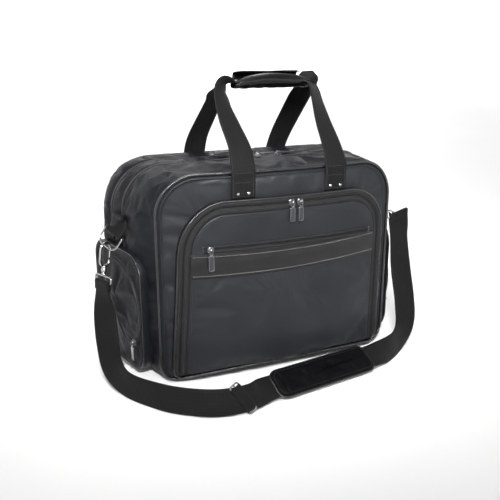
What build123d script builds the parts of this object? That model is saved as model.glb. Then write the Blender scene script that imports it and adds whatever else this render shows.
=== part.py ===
from build123d import *
import os
from math import cos, radians, sin, sqrt

os.makedirs("parts", exist_ok=True)

# Soft flight bag with a briefcase handle, a fold-down organiser front, two side pockets
# and a shoulder strap that lies on the floor in front. Millimetres, +Z up, -Y is the front,
# origin at the middle of the bag's underside.

# ---- driving dimensions -------------------------------------------------------------
BODY_HEIGHT = 321
BACK_Y = 100
FRONT_MID_Y = -100          # the front bows out to here in the middle
FRONT_EDGE_Y = -79          # and lies here at its two ends
FRONT_HALF = 199            # half width at the front edge
MIDDLE_HALF = 222           # half width at the main zip
REAR_HALF = 228             # half width at the rear zip
BACK_HALF = 225             # half width at the back
FRONT_CORNER = 62           # top corner radius at the front
BACK_CORNER = 78            # top corner radius at the back
FOOT_CORNER = 30            # bottom corner radius
PANEL = 4                   # foam-backed panel
GUSSET = 2.4                # lined gusset fabric
PIPING = 3                  # piping bead
GAP = 0.3                   # seam gap between separate pieces

MAIN_ZIP_Y = 12
REAR_ZIP_Y = 48
ZIP_WIDTH = 10
COIL_WIDTH = 3
COIL_RISE = 1

ORGANISER_HALF = 176        # outer edge of the organiser's zip
ORGANISER_X = 3             # it sits a little to the right
ORGANISER_FOOT = 6
ORGANISER_TOP = 281
ORGANISER_CORNER = 68       # its top corner radius
ORGANISER_DEPTH = 10        # how far the organiser stands out from the front panel
ORGANISER_BAND = 19         # width of its zip band
FLAP_FOOT = 11              # bottom edge of the fold-down panel
SLASH_HEIGHT = 211          # height of the slash zip
SLASH_LEFT = -135
SLASH_RIGHT = 148
BAND_LOW = 168              # trim band
BAND_HIGH = 203

WEBBING = 38
WEBBING_THICK = 1.8
HANDLE_CENTRE_X = 6
LEG_HALF_SPACING = 77
GRIP_X = 15
GRIP_Y = -8
GRIP_Z = 443
GRIP_LENGTH = 124

POCKET_Y = 18               # middle of each side pocket
POCKET_HALF = 74
POCKET_FOOT = 10
POCKET_TOP = 196
POCKET_DEPTH = 13
POCKET_ARC_Z = 104          # centre of the arc that the side zip follows
POCKET_ARC_R = 74

# ---- shared geometry ----------------------------------------------------------------
BOW_RADIUS = (FRONT_HALF ** 2 + (FRONT_EDGE_Y - FRONT_MID_Y) ** 2) / (2 * (FRONT_EDGE_Y - FRONT_MID_Y))
BOW_Y = FRONT_MID_Y + BOW_RADIUS


def half_width(y):
    """Half width of the body at depth y."""
    stations = [
        (FRONT_EDGE_Y, FRONT_HALF),
        (MAIN_ZIP_Y, MIDDLE_HALF),
        (REAR_ZIP_Y, REAR_HALF),
        (BACK_Y, BACK_HALF),
    ]
    for (y0, w0), (y1, w1) in zip(stations, stations[1:]):
        if y <= y1:
            break
    return w0 + (w1 - w0) * (y - y0) / (y1 - y0)


def corner_radius(y):
    """Top corner radius of the body at depth y."""
    return FRONT_CORNER + (BACK_CORNER - FRONT_CORNER) * (y - FRONT_EDGE_Y) / (BACK_Y - FRONT_EDGE_Y)


def bow_y(x, out=0.0):
    """Depth of the bowed front at x, a distance out in front of the front panel."""
    return BOW_Y - sqrt((BOW_RADIUS + out) ** 2 - x ** 2)


def rounded_face(y, half, low, high, top_radius, foot_radius, centre_x=0.0):
    """Upright rounded rectangle in the plane at depth y."""
    with BuildSketch(Plane.XZ.offset(-y)) as outline:
        with Locations((centre_x, (low + high) / 2)):
            Rectangle(2 * half, high - low)
        fillet(outline.vertices().group_by(Axis.Y)[-1], top_radius)
        fillet(outline.vertices().group_by(Axis.Y)[0], foot_radius)
    return outline.sketch.face()


def body_face(y, inset=0.0):
    """The body's outline at depth y, inset all round."""
    return rounded_face(
        y,
        half_width(y) - inset,
        inset,
        BODY_HEIGHT - inset,
        corner_radius(y) - inset,
        FOOT_CORNER - inset,
    )


def bow_slab(inner, outer):
    """Plan shape between two distances in front of the front panel."""
    with BuildSketch() as plan:
        with Locations((0, BOW_Y)):
            Circle(BOW_RADIUS + outer)
            Circle(BOW_RADIUS + inner, mode=Mode.SUBTRACT)
        with Locations((0, -180)):
            Rectangle(560, 360, mode=Mode.INTERSECT)
    return plan.sketch


def save(part, name):
    """Label one finished piece and write it."""
    part.label = name
    export_step(part, "parts/" + name + ".step")
    print(name, round(part.volume / 1000, 2), "cm3", len(part.solids()), "solids")


def bowed_piece(face, inner, outer):
    """A piece of the bowed front: an upright outline between two distances from the panel."""
    slab = bow_slab(inner, outer)
    with BuildPart() as piece:
        extrude(face, amount=220, dir=(0, 1, 0))
        extrude(slab, amount=600, dir=(0, 0, 1), mode=Mode.INTERSECT)
    return piece.part


def bowed_ring(outer_face, inner_face, inner, outer):
    """As bowed_piece, with the middle open."""
    slab = bow_slab(inner, outer)
    with BuildPart() as piece:
        extrude(outer_face, amount=220, dir=(0, 1, 0))
        extrude(inner_face, amount=220, dir=(0, 1, 0), mode=Mode.SUBTRACT)
        extrude(slab, amount=600, dir=(0, 0, 1), mode=Mode.INTERSECT)
    return piece.part


def cut_away(part, low, high):
    """Take a box, given by its two corners, out of a part."""
    size = [h - l for l, h in zip(low, high)]
    middle = tuple((h + l) / 2 for l, h in zip(low, high))
    with BuildPart() as piece:
        add(part)
        with Locations(middle):
            Box(*size, mode=Mode.SUBTRACT)
    return piece.part


# ---- body panels and gussets --------------------------------------------------------
FAR_FRONT = -130            # outlines of the bowed pieces are drawn here and cut through
PIPING_RISE = 1.5           # how far the piping stands proud of its panel


def front_face(inset):
    """Outline of the bowed front, inset all round."""
    return rounded_face(
        FAR_FRONT, FRONT_HALF - inset, inset, BODY_HEIGHT - inset, FRONT_CORNER - inset, FOOT_CORNER - inset
    )


save(bowed_piece(front_face(PIPING + GAP), -PANEL, 0), "front_panel")
save(bowed_ring(front_face(0), front_face(PIPING), -PANEL, PIPING_RISE), "front_piping")

with BuildPart() as back_panel:
    extrude(body_face(BACK_Y - PANEL, PIPING + GAP), amount=PANEL, dir=(0, 1, 0))
save(back_panel.part, "back_panel")

with BuildPart() as back_piping:
    extrude(body_face(BACK_Y - PANEL), amount=PANEL + PIPING_RISE, dir=(0, 1, 0))
    extrude(body_face(BACK_Y - PANEL, PIPING), amount=PANEL + PIPING_RISE, dir=(0, 1, 0), mode=Mode.SUBTRACT)
save(back_piping.part, "back_piping")

BOTTOM_HALF = 166


def gusset(y0, y1):
    """One hoop of gusset fabric between two depths, open over the bottom panel."""
    with BuildPart() as hoop:
        loft([body_face(y0), body_face(y1)], ruled=True)
        loft([body_face(y0, GUSSET), body_face(y1, GUSSET)], ruled=True, mode=Mode.SUBTRACT)
    return cut_away(hoop.part, (-BOTTOM_HALF, -140, -1), (BOTTOM_HALF, 140, 12))


with BuildPart() as front_gusset:
    add(gusset(FRONT_MID_Y - 2, MAIN_ZIP_Y - ZIP_WIDTH / 2))
    extrude(bow_slab(-PANEL - GAP, 60), amount=600, dir=(0, 0, 1), mode=Mode.SUBTRACT)
save(front_gusset.part, "front_gusset")
save(gusset(MAIN_ZIP_Y + ZIP_WIDTH / 2, REAR_ZIP_Y - ZIP_WIDTH / 2), "middle_gusset")
save(gusset(REAR_ZIP_Y + ZIP_WIDTH / 2, BACK_Y - PANEL - GAP), "rear_gusset")


def hoop_zip(y):
    """Zip tape with its raised coil, running up one side, over the top and down the other."""
    tape = ZIP_WIDTH / 2 - GAP
    with BuildPart() as strip:
        extrude(body_face(y, 0.6), amount=tape, both=True)
        extrude(body_face(y, GUSSET), amount=tape, both=True, mode=Mode.SUBTRACT)
        extrude(body_face(y, -COIL_RISE), amount=COIL_WIDTH / 2, both=True)
        extrude(body_face(y, GUSSET), amount=ZIP_WIDTH, both=True, mode=Mode.SUBTRACT)
    return cut_away(strip.part, (-BOTTOM_HALF - 40, -140, -5), (BOTTOM_HALF + 40, 140, 12))


save(hoop_zip(MAIN_ZIP_Y), "main_zip")
save(hoop_zip(REAR_ZIP_Y), "rear_zip")

BOTTOM_THICK = 3
with BuildPart() as bottom_panel:
    with Locations((0, 4, BOTTOM_THICK / 2)):
        Box(2 * (BOTTOM_HALF - GAP), 184, BOTTOM_THICK)
    extrude(bow_slab(-PANEL - GAP, 60), amount=600, dir=(0, 0, 1), mode=Mode.SUBTRACT)
save(bottom_panel.part, "bottom_panel")

with BuildPart() as base_board:
    with Locations((0, 8, BOTTOM_THICK + GAP + 1)):
        Box(320, 160, 2)
    fillet(base_board.edges().filter_by(Axis.Z), 12)
save(base_board.part, "base_board")

DIVIDER_Y = REAR_ZIP_Y - 3
with BuildPart() as divider:
    extrude(rounded_face(DIVIDER_Y, 214, 8, BODY_HEIGHT - 8, 60, 24), amount=PANEL, dir=(0, 1, 0))
save(divider.part, "divider")

# ---- organiser front ----------------------------------------------------------------


def organiser_face(inset):
    """Outline of the organiser, inset all round but little at the foot."""
    return rounded_face(
        FAR_FRONT,
        ORGANISER_HALF - inset,
        ORGANISER_FOOT + min(inset, 4),
        ORGANISER_TOP - inset,
        ORGANISER_CORNER - inset,
        18 - min(inset, 8),
        ORGANISER_X,
    )


save(bowed_ring(organiser_face(0), organiser_face(1.6), GAP, ORGANISER_DEPTH - 1.6), "organiser_gusset")


TAPE_BACK = ORGANISER_DEPTH - 1.2
ZIP_FOOT = 24               # height at which both sides of the organiser's zip end


def organiser_tape(edge, coil):
    """Half of the organiser's zip: tape from its edge to the coil, and half of the coil."""
    tape_face, tape_hole = (organiser_face(inset) for inset in sorted((edge, coil)))
    coil_edge = coil + (COIL_WIDTH / 2 if edge > coil else -COIL_WIDTH / 2)
    coil_face, coil_hole = (organiser_face(inset) for inset in sorted((coil, coil_edge)))
    with BuildPart() as tape:
        add(bowed_ring(tape_face, tape_hole, TAPE_BACK, ORGANISER_DEPTH))
        add(bowed_ring(coil_face, coil_hole, TAPE_BACK, ORGANISER_DEPTH + COIL_RISE))
    return cut_away(tape.part, (-300, -200, -1), (300, 0, ZIP_FOOT))


BAND_MID = ORGANISER_BAND / 2
save(organiser_tape(0, BAND_MID - 0.2), "organiser_zip_outer")
save(organiser_tape(ORGANISER_BAND - GAP, BAND_MID + 0.2), "organiser_zip_inner")

SLASH_SLOT = 3
FLAP_INNER = ORGANISER_DEPTH - 2.4
FLAP_OUTER = ORGANISER_DEPTH + 1.6
flap_face = rounded_face(
    FAR_FRONT,
    ORGANISER_HALF - ORGANISER_BAND,
    FLAP_FOOT,
    ORGANISER_TOP - ORGANISER_BAND,
    ORGANISER_CORNER - ORGANISER_BAND + 1,
    10,
    ORGANISER_X,
)
with BuildPart() as organiser_panel:
    add(bowed_piece(flap_face, FLAP_INNER, FLAP_OUTER))
    with Locations(((SLASH_LEFT + SLASH_RIGHT) / 2, FRONT_MID_Y, SLASH_HEIGHT)):
        Box(SLASH_RIGHT - SLASH_LEFT - 8, 80, SLASH_SLOT, mode=Mode.SUBTRACT)
save(organiser_panel.part, "organiser_panel")


def bowed_strip(left, right, low, high, inner, outer):
    """Straight strip across the bowed front."""
    with BuildPart() as strip:
        with Locations(((left + right) / 2, FRONT_MID_Y, (low + high) / 2)):
            Box(right - left, 120, high - low)
        extrude(bow_slab(inner, outer), amount=600, dir=(0, 0, 1), mode=Mode.INTERSECT)
    return strip.part


with BuildPart() as slash_zip:
    for half, rise in ((ZIP_WIDTH / 2, 1), (COIL_WIDTH / 2, 1 + COIL_RISE)):
        low, high = SLASH_HEIGHT - half, SLASH_HEIGHT + half
        add(bowed_strip(SLASH_LEFT, SLASH_RIGHT, low, high, FLAP_OUTER, FLAP_OUTER + rise))
save(slash_zip.part, "slash_zip")

LINING_FOOT = 110
with BuildPart() as slash_lining:
    add(bowed_strip(SLASH_LEFT, SLASH_RIGHT, LINING_FOOT, SLASH_HEIGHT + 8, FLAP_INNER - 4, FLAP_INNER))
    inside = bowed_strip(
        SLASH_LEFT + 2, SLASH_RIGHT - 2, LINING_FOOT + 2, SLASH_HEIGHT + 6, FLAP_INNER - 3.4, FLAP_INNER
    )
    add(inside, mode=Mode.SUBTRACT)
save(slash_lining.part, "slash_lining")

BAND_HALF = ORGANISER_HALF - ORGANISER_BAND - 3.5
trim_band = bowed_strip(
    ORGANISER_X - BAND_HALF, ORGANISER_X + BAND_HALF, BAND_LOW, BAND_HIGH, FLAP_OUTER, FLAP_OUTER + 1.2
)
save(trim_band, "trim_band")

# ---- side pockets -------------------------------------------------------------------
SIDES = (("left", -1), ("right", 1))
SIDE_LEAN = 12              # degrees: the sides spread towards the back
SIDE_X = 223.6              # the pocket's back plane at the main zip
POCKET_WALL = 2.4


def side_plane(side, out=0.0, height=0.0):
    """Upright plane on one side: local y is up, z points out of the bag."""
    lean = radians(SIDE_LEAN)
    outward = Vector(side * cos(lean), -sin(lean), 0)
    foot = Vector(side * (SIDE_X + (POCKET_Y - MAIN_ZIP_Y) * sin(lean) / cos(lean)), POCKET_Y, height)
    return Plane(origin=foot + outward * out, x_dir=Vector(sin(lean), side * cos(lean), 0), z_dir=outward)


def side_face(side, out, inset=0.0):
    """Pocket outline in the side plane a distance out."""
    with BuildSketch(side_plane(side, out)) as outline:
        with Locations((0, (POCKET_FOOT + POCKET_TOP) / 2)):
            Rectangle(2 * (POCKET_HALF - inset), POCKET_TOP - POCKET_FOOT - 2 * inset)
        fillet(outline.vertices(), 32 - inset)
    return outline.sketch.face()


ARC_START = 80
ARC_SIZE = 140


def side_arc(side, out, width):
    """Arc-shaped strip that the side zip follows, from the pocket's top to its lower front."""
    start = ARC_START if side > 0 else 180 - ARC_START - ARC_SIZE
    with BuildSketch(side_plane(side, out)) as strip:
        with BuildLine() as path:
            CenterArc((0, POCKET_ARC_Z), POCKET_ARC_R, start, ARC_SIZE)
        trace(path.line, line_width=width)
    return strip.sketch


with BuildPart() as body_clearance:
    for y0, y1 in ((FRONT_EDGE_Y, MAIN_ZIP_Y), (MAIN_ZIP_Y, REAR_ZIP_Y), (REAR_ZIP_Y, BACK_Y)):
        loft([body_face(y0, -1.5), body_face(y1, -1.5)], ruled=True)

POCKET_SKIRT = 24           # how far the pocket's walls reach in behind its plane, to the body
for side_name, side in SIDES:
    with BuildPart() as side_pocket:
        extrude(side_face(side, -POCKET_SKIRT), amount=POCKET_SKIRT + POCKET_DEPTH)
        cavity = side_face(side, -POCKET_SKIRT, POCKET_WALL)
        extrude(cavity, amount=POCKET_SKIRT + POCKET_DEPTH - POCKET_WALL, mode=Mode.SUBTRACT)
        add(body_clearance.part, mode=Mode.SUBTRACT)
        extrude(side_arc(side, POCKET_DEPTH - 4, 3), amount=6, mode=Mode.SUBTRACT)
    save(side_pocket.part, "side_pocket_" + side_name)
    with BuildPart() as side_zip:
        extrude(side_arc(side, POCKET_DEPTH, 11), amount=1)
        extrude(side_arc(side, POCKET_DEPTH, 3), amount=2)
    save(side_zip.part, "side_zip_" + side_name)

# ---- zip sliders and pulls ----------------------------------------------------------
BRIDGE_Z = 5.2              # pull's pivot above the coil


def slider(place):
    """Zip slider on a coil; local x points where the pull hangs, z away from the coil."""
    with BuildPart(place) as body:
        with Locations((0, 0, 1.4)):
            Box(10, 10, 2.2)
        fillet(body.edges().filter_by(Axis(place.origin, place.z_dir)), 2.5)
        with Locations((0, 3.6, 4.4), (0, -3.6, 4.4)):
            Box(3.2, 1.2, 4)
        with Locations(Location((0, 0, BRIDGE_Z), (90, 0, 0))):
            Cylinder(0.8, 8)
    return body.part


def pull(place, length, framed):
    """Pull that turns on the slider's bridge; a framed one has a thinner middle."""
    with BuildPart(place) as tab:
        with Locations(Location((0, 0, BRIDGE_Z), (90, 0, 0))):
            Cylinder(2.3, 4)
        with Locations((4.5, 0, BRIDGE_Z)):
            Box(7, 3.6, 1.6)
        with Locations((7 + length / 2, 0, BRIDGE_Z)):
            Box(length, 8.4, 1.6)
            if framed:
                Box(length - 4, 5, 1.6, mode=Mode.SUBTRACT)
                Box(length - 4, 5, 0.6)
        with Locations(Location((0, 0, BRIDGE_Z), (90, 0, 0))):
            Cylinder(1.1, 12, mode=Mode.SUBTRACT)
    return tab.part


COIL_TOP = BODY_HEIGHT + COIL_RISE


def on_bow(x, z, out):
    """Plane on the bowed front at (x, z): local x hangs down, z faces out of the front."""
    angle = x / (BOW_RADIUS + out)
    origin = (BOW_RADIUS + out) * sin(angle), BOW_Y - (BOW_RADIUS + out) * cos(angle), z
    return Plane(origin=origin, x_dir=(0, 0, -1), z_dir=(sin(angle), -cos(angle), 0))


def on_top(x, y):
    """Plane on the top: the pull lies towards +X."""
    return Plane(origin=(x, y, COIL_TOP), x_dir=(1, 0, 0), z_dir=(0, 0, 1))


SIDE_REST = 218             # where the side sliders rest, in degrees round the arc from the back


def on_side(side):
    """Plane on a side pocket's zip, near its lower end, with the pull hanging down."""
    face = side_plane(side, POCKET_DEPTH + 2)
    along = side * POCKET_ARC_R * cos(radians(SIDE_REST))
    origin = face.from_local_coords(Vector(along, POCKET_ARC_Z + POCKET_ARC_R * sin(radians(SIDE_REST)), 0))
    return Plane(origin=origin, x_dir=(0, 0, -1), z_dir=face.z_dir)


BAND_CENTRE_Z = ORGANISER_TOP - BAND_MID
ZIP_OUT = ORGANISER_DEPTH + COIL_RISE
SLIDER_PLACES = {
    "main_left": (on_top(4, MAIN_ZIP_Y), 22, True),
    "main_right": (on_top(40, MAIN_ZIP_Y), 22, True),
    "rear": (on_top(-62, REAR_ZIP_Y), 22, True),
    "organiser_left": (on_bow(3, BAND_CENTRE_Z, ZIP_OUT), 22, True),
    "organiser_right": (on_bow(17, BAND_CENTRE_Z, ZIP_OUT), 22, True),
    "slash": (on_bow(SLASH_LEFT + 10, SLASH_HEIGHT, FLAP_OUTER + 2), 24, True),
    "side_left": (on_side(-1), 22, False),
    "side_right": (on_side(1), 22, False),
}
for name, (place, length, framed) in SLIDER_PLACES.items():
    save(slider(place), name + "_slider")
    save(pull(place, length, framed), name + "_pull")

# ---- handle -------------------------------------------------------------------------


def webbing(stations, width=WEBBING, thick=WEBBING_THICK):
    """Flat strap through stations, each a centre point and the direction of its width."""
    points = [Vector(point) for point, _ in stations]
    sections = []
    for i, (_, across) in enumerate(stations):
        run = points[min(i + 1, len(points) - 1)] - points[max(i - 1, 0)]
        with BuildSketch(Plane(origin=points[i], x_dir=square_to(Vector(across), run), z_dir=run)) as section:
            Rectangle(width, thick)
        sections.append(section.sketch.face())
    with BuildPart() as strap:
        loft(sections, ruled=True)
    return strap.part


def square_to(direction, other):
    """Unit vector along direction, made square to another."""
    axis = other.normalized()
    return (direction - axis * direction.dot(axis)).normalized()


ACROSS = (1, 0, 0)
LEFT_X = HANDLE_CENTRE_X - LEG_HALF_SPACING
RIGHT_X = HANDLE_CENTRE_X + LEG_HALF_SPACING
FRONT_LEG_Y = -101.6
BACK_LEG_Y = BACK_Y + PIPING_RISE + GAP + WEBBING_THICK / 2
LEG_FOOT = ORGANISER_TOP + 0.5
LEG_TOP = BODY_HEIGHT + 2   # where the legs leave the panels


def upright(x, y):
    """Stations of the flat stretch of a leg that is sewn on its panel."""
    return [((x, y, z), ACROSS) for z in (LEG_FOOT, LEG_FOOT + 16, LEG_TOP)]


LEGS = {
    "front_leg_left": [
        *upright(LEFT_X, FRONT_LEG_Y),
        ((LEFT_X + 1, -88, 352), (1, 0.05, -0.15)),
        ((LEFT_X - 6, -62, 386), (1, 0.1, -0.3)),
        ((LEFT_X - 12, -36, 416), (0.95, 0.2, -0.45)),
        ((LEFT_X - 5, -16, 440), (0.7, 0.4, -0.6)),
    ],
    "front_leg_right": [
        *upright(RIGHT_X, FRONT_LEG_Y),
        ((RIGHT_X + 3, -88, 350), (0.9, 0.4, 0)),
        ((RIGHT_X + 5, -64, 382), (0.7, 0.7, 0)),
        ((RIGHT_X + 5, -42, 412), (0.6, 0.8, 0)),
        ((RIGHT_X + 3, -30, 436), (0.4, 0.9, 0)),
    ],
    "back_leg_left": [
        *upright(LEFT_X - 2, BACK_LEG_Y),
        ((LEFT_X, 90, 350), (1, 0, 0.2)),
        ((LEFT_X + 8, 66, 385), (1, 0, 0.3)),
        ((LEFT_X + 12, 38, 415), (1, 0, 0.4)),
        ((LEFT_X + 6, 14, 438), (0.8, 0, 0.6)),
    ],
    "back_leg_right": [
        *upright(RIGHT_X - 2, BACK_LEG_Y),
        ((RIGHT_X + 2, 90, 350), (1, 0, -0.2)),
        ((RIGHT_X + 8, 66, 385), (1, 0, -0.3)),
        ((RIGHT_X + 12, 42, 415), (1, 0, -0.3)),
        ((RIGHT_X + 12, 20, 438), (1, 0, -0.3)),
    ],
}
for name, stations in LEGS.items():
    save(webbing(stations), name)

RIVET_X = 8.5
RIVET_Z = 289
RIVET_RADIUS = 2.6
with BuildPart() as handle_rivets:
    for x in (LEFT_X, RIGHT_X):
        for dx in (-RIVET_X, RIVET_X):
            front = FRONT_LEG_Y - WEBBING_THICK / 2
            with BuildSketch(Plane.XZ.offset(-front)):
                with Locations((x + dx, RIVET_Z)):
                    Circle(RIVET_RADIUS)
            extrude(amount=1.2)
            back = BACK_LEG_Y + WEBBING_THICK / 2
            with BuildSketch(Plane.XZ.offset(-back)):
                with Locations((x + dx - 2, RIVET_Z)):
                    Circle(RIVET_RADIUS)
            extrude(amount=-1.2)
save(handle_rivets.part, "handle_rivets")

GRIP_DEEP = 32
GRIP_HIGH = 22
with BuildPart() as handle_grip:
    with BuildSketch(Plane.YZ.offset(GRIP_X - GRIP_LENGTH / 2)):
        with Locations((GRIP_Y, GRIP_Z)):
            RectangleRounded(GRIP_DEEP, GRIP_HIGH, 9)
    extrude(amount=GRIP_LENGTH)
save(handle_grip.part, "handle_grip")

FLAP_LENGTH = 112
FLAP_HINGE_Y = GRIP_Y + GRIP_DEEP / 2 + 1.6
FLAP_TOP_Z = GRIP_Z + GRIP_HIGH / 2 + 1.6
with BuildPart() as grip_flap:
    with BuildSketch(Plane.YZ.offset(GRIP_X - FLAP_LENGTH / 2)):
        with BuildLine():
            FilletPolyline(
                (FLAP_HINGE_Y, GRIP_Z - 3), (FLAP_HINGE_Y, FLAP_TOP_Z), (GRIP_Y - 6, FLAP_TOP_Z), radius=11
            )
        trace(line_width=2.2)
    extrude(amount=FLAP_LENGTH)
save(grip_flap.part, "grip_flap")

# ---- ring tabs, rings and snap hooks ------------------------------------------------
RING_WIRE = 3
RING_WIDTH = 40             # clear width inside the ring
RING_DROP = 24              # from the ring's bar to the bottom of its bow
RING_CORNER = 12
HOOK_LOOP = 40              # snap hook's oval loop
HOOK_WIDE = 22
HOOK_WIRE = 4
HOOK_CLEAR = 1.2            # play between the ring and the hook's loop
GATE_HALF = 7               # half length of the gate's window
GATE_WIDE = 3
BARREL_LENGTH = 9
BARREL_RADIUS = 4.2
EYE_WIDTH = 46
EYE_HIGH = 13
EYE_THICK = 3
LOOP_Y = RING_WIRE / 2 + HOOK_CLEAR - (HOOK_LOOP / 2 - HOOK_WIRE)   # middle of the hook's oval
GATE_X = (HOOK_WIDE - HOOK_WIRE) / 2
BARREL_TOP = LOOP_Y - HOOK_LOOP / 2
EYE_TOP = BARREL_TOP - BARREL_LENGTH - 2.6


class RingPlace:
    """Where one ring, its hook and the eye below it stand.

    The hook pulls on the bow at slide from its middle, and turn degrees round its corner.
    """

    def __init__(self, bar, along, hang, slide, turn, reach, eye_across):
        self.bar = Vector(*bar)
        self.along = Vector(*along).normalized()
        self.hang = square_to(Vector(*hang), self.along)
        self.ring = Plane(origin=self.bar, x_dir=self.along, z_dir=self.along.cross(self.hang * -1))
        self.reach = Vector(*reach).normalized()
        bend = RING_CORNER + RING_WIRE / 2
        self.contact = self.ring.from_local_coords(
            Vector(slide + bend * sin(radians(turn)), bend - RING_DROP - bend * cos(radians(turn)), 0)
        )
        wire = self.along * cos(radians(turn)) - self.hang * sin(radians(turn))
        normal = square_to(wire, self.reach)
        self.hook = Plane(origin=self.contact, x_dir=(self.reach * -1).cross(normal), z_dir=normal)
        self.eye_across = square_to(Vector(*eye_across), self.reach)

    def below_eye(self, distance):
        """Point on the hook's line, a distance past the foot of the eye."""
        return self.contact + self.reach * (EYE_HIGH - EYE_TOP + distance)


RING_PLACES = {
    "left": RingPlace(
        bar=(-238, 12, 220),
        along=(0.35, -0.85, -0.3),
        hang=(-0.5, -0.1, -0.87),
        slide=0,
        turn=0,
        reach=(-0.16, -0.1, -1),
        eye_across=(0.35, -0.94, 0),
    ),
    "right": RingPlace(
        bar=(241, 14, 221),
        along=(-0.35, -0.85, -0.3),
        hang=(0.45, -0.1, -0.88),
        slide=RING_WIDTH / 2 - RING_CORNER,
        turn=88,
        reach=(-0.03, -0.96, 0.26),
        eye_across=(1, 0.1, 0.25),
    ),
}


def bow_outline(width, height, corner):
    """Flat-topped outline with two round lower corners."""
    with BuildSketch() as outline:
        Rectangle(width, height)
        fillet(outline.vertices().group_by(Axis.Y)[0], corner)
    return outline.sketch


def ring_solid(place):
    """D-ring: a straight bar and a round bow."""
    outer = bow_outline(RING_WIDTH + 2 * RING_WIRE, RING_DROP + RING_WIRE, RING_CORNER + RING_WIRE)
    inner = bow_outline(RING_WIDTH, RING_DROP - RING_WIRE, RING_CORNER)
    with BuildPart(place.ring) as ring:
        with BuildSketch(place.ring):
            with Locations((0, -RING_DROP / 2)):
                add(outer)
                add(inner, mode=Mode.SUBTRACT)
        extrude(amount=RING_WIRE / 2, both=True)
        flats = ring.faces().filter_by(Axis(place.ring.origin, place.ring.z_dir))
        chamfer(flats.edges(), 0.6)
    return ring.part


def hook_solid(place):
    """Snap hook: oval loop with a window for the gate, and a barrel below."""
    with BuildPart(place.hook) as hook:
        with BuildSketch(place.hook):
            with Locations((0, LOOP_Y)):
                SlotOverall(HOOK_LOOP, HOOK_WIDE, rotation=90)
                inner = HOOK_LOOP - 2 * HOOK_WIRE, HOOK_WIDE - 2 * HOOK_WIRE
                SlotOverall(*inner, rotation=90, mode=Mode.SUBTRACT)
        extrude(amount=HOOK_WIRE / 2, both=True)
        with Locations((GATE_X, LOOP_Y, 0)):
            Box(HOOK_WIRE + 3, 2 * GATE_HALF, HOOK_WIRE + 2, mode=Mode.SUBTRACT)
        with Locations(Location((0, BARREL_TOP - BARREL_LENGTH / 2 + 1, 0), (90, 0, 0))):
            Cylinder(BARREL_RADIUS, BARREL_LENGTH + 2)
    return hook.part


def gate_solid(place):
    """Sprung gate that closes the hook's window."""
    with BuildPart(place.hook) as gate:
        with Locations((GATE_X, LOOP_Y, 0)):
            Box(GATE_WIDE, 2 * GATE_HALF - 2 * GAP, 3.4)
        ends = gate.edges().filter_by(Axis(place.hook.origin, place.hook.z_dir))
        fillet(ends, GATE_WIDE / 2 - 0.05)
        with Locations((GATE_X + 2.2, LOOP_Y + 3, 0)):
            Box(1.6, 3, 2.4)
    return gate.part


def swivel_solid(place):
    """Swivel: collar under the barrel, and the wide eye that holds the webbing."""
    facing = place.eye_across.cross(place.reach * -1)
    upright = Plane(origin=place.contact, x_dir=place.eye_across, z_dir=facing)
    with BuildPart(upright) as swivel:
        with Locations(Location((0, EYE_TOP + 1, 0), (90, 0, 0))):
            Cylinder(BARREL_RADIUS - 0.8, 3)
        with BuildSketch(upright):
            with Locations((0, EYE_TOP - EYE_HIGH / 2)):
                RectangleRounded(EYE_WIDTH, EYE_HIGH, 4)
                RectangleRounded(EYE_WIDTH - 6, EYE_HIGH - 6, 1.5, mode=Mode.SUBTRACT)
        extrude(amount=EYE_THICK / 2, both=True)
    return swivel.part


TAB_BASE_Z = 245            # top of the webbing tab that holds each ring
TAB_THICK = 2 * WEBBING_THICK + RING_WIRE


def tab_solid(place, side):
    """Webbing tab: folded round the ring's bar, its root lying on the bag's side."""
    face = side_plane(side, TAB_THICK / 2 + COIL_RISE, TAB_BASE_Z)
    stations = [
        (place.bar + place.hang * (TAB_THICK / 2), place.along),
        (place.bar - place.hang * 5, place.along),
        (face.origin, face.x_dir),
        (face.origin + Vector(0, 0, 8), face.x_dir),
    ]
    with BuildPart() as tab:
        add(webbing(stations, WEBBING - 1, TAB_THICK))
        with Locations(place.ring.location):
            Box(WEBBING + 20, RING_WIRE + 2 * GAP, RING_WIRE + 2 * GAP, mode=Mode.SUBTRACT)
    return tab.part


for name, side in SIDES:
    place = RING_PLACES[name]
    save(ring_solid(place), "d_ring_" + name)
    save(hook_solid(place), "snap_hook_" + name)
    save(gate_solid(place), "hook_gate_" + name)
    save(swivel_solid(place), "hook_swivel_" + name)
    save(tab_solid(place, side), "ring_tab_" + name)

# ---- shoulder strap -----------------------------------------------------------------
LEAN_BACK = (0, 0.42, 1)    # on the floor the strap stands on its edge, leaning back
PAD_LEAN = (0, 1.6, 1)      # the pad leans back further
PAD_START = Vector(-60, -187, 17.5)
PAD_END = Vector(122, -161, 17.5)
PAD_WIDE = 48
PAD_THICK = 9
PAD_RUN = (PAD_END - PAD_START).normalized()
PAD_MIDDLE = (PAD_START + PAD_END) * 0.5
PAD_LENGTH = (PAD_END - PAD_START).length


def pad_point(along):
    """Point on the pad's line, a distance from its middle."""
    return PAD_MIDDLE + PAD_RUN * along


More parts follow.
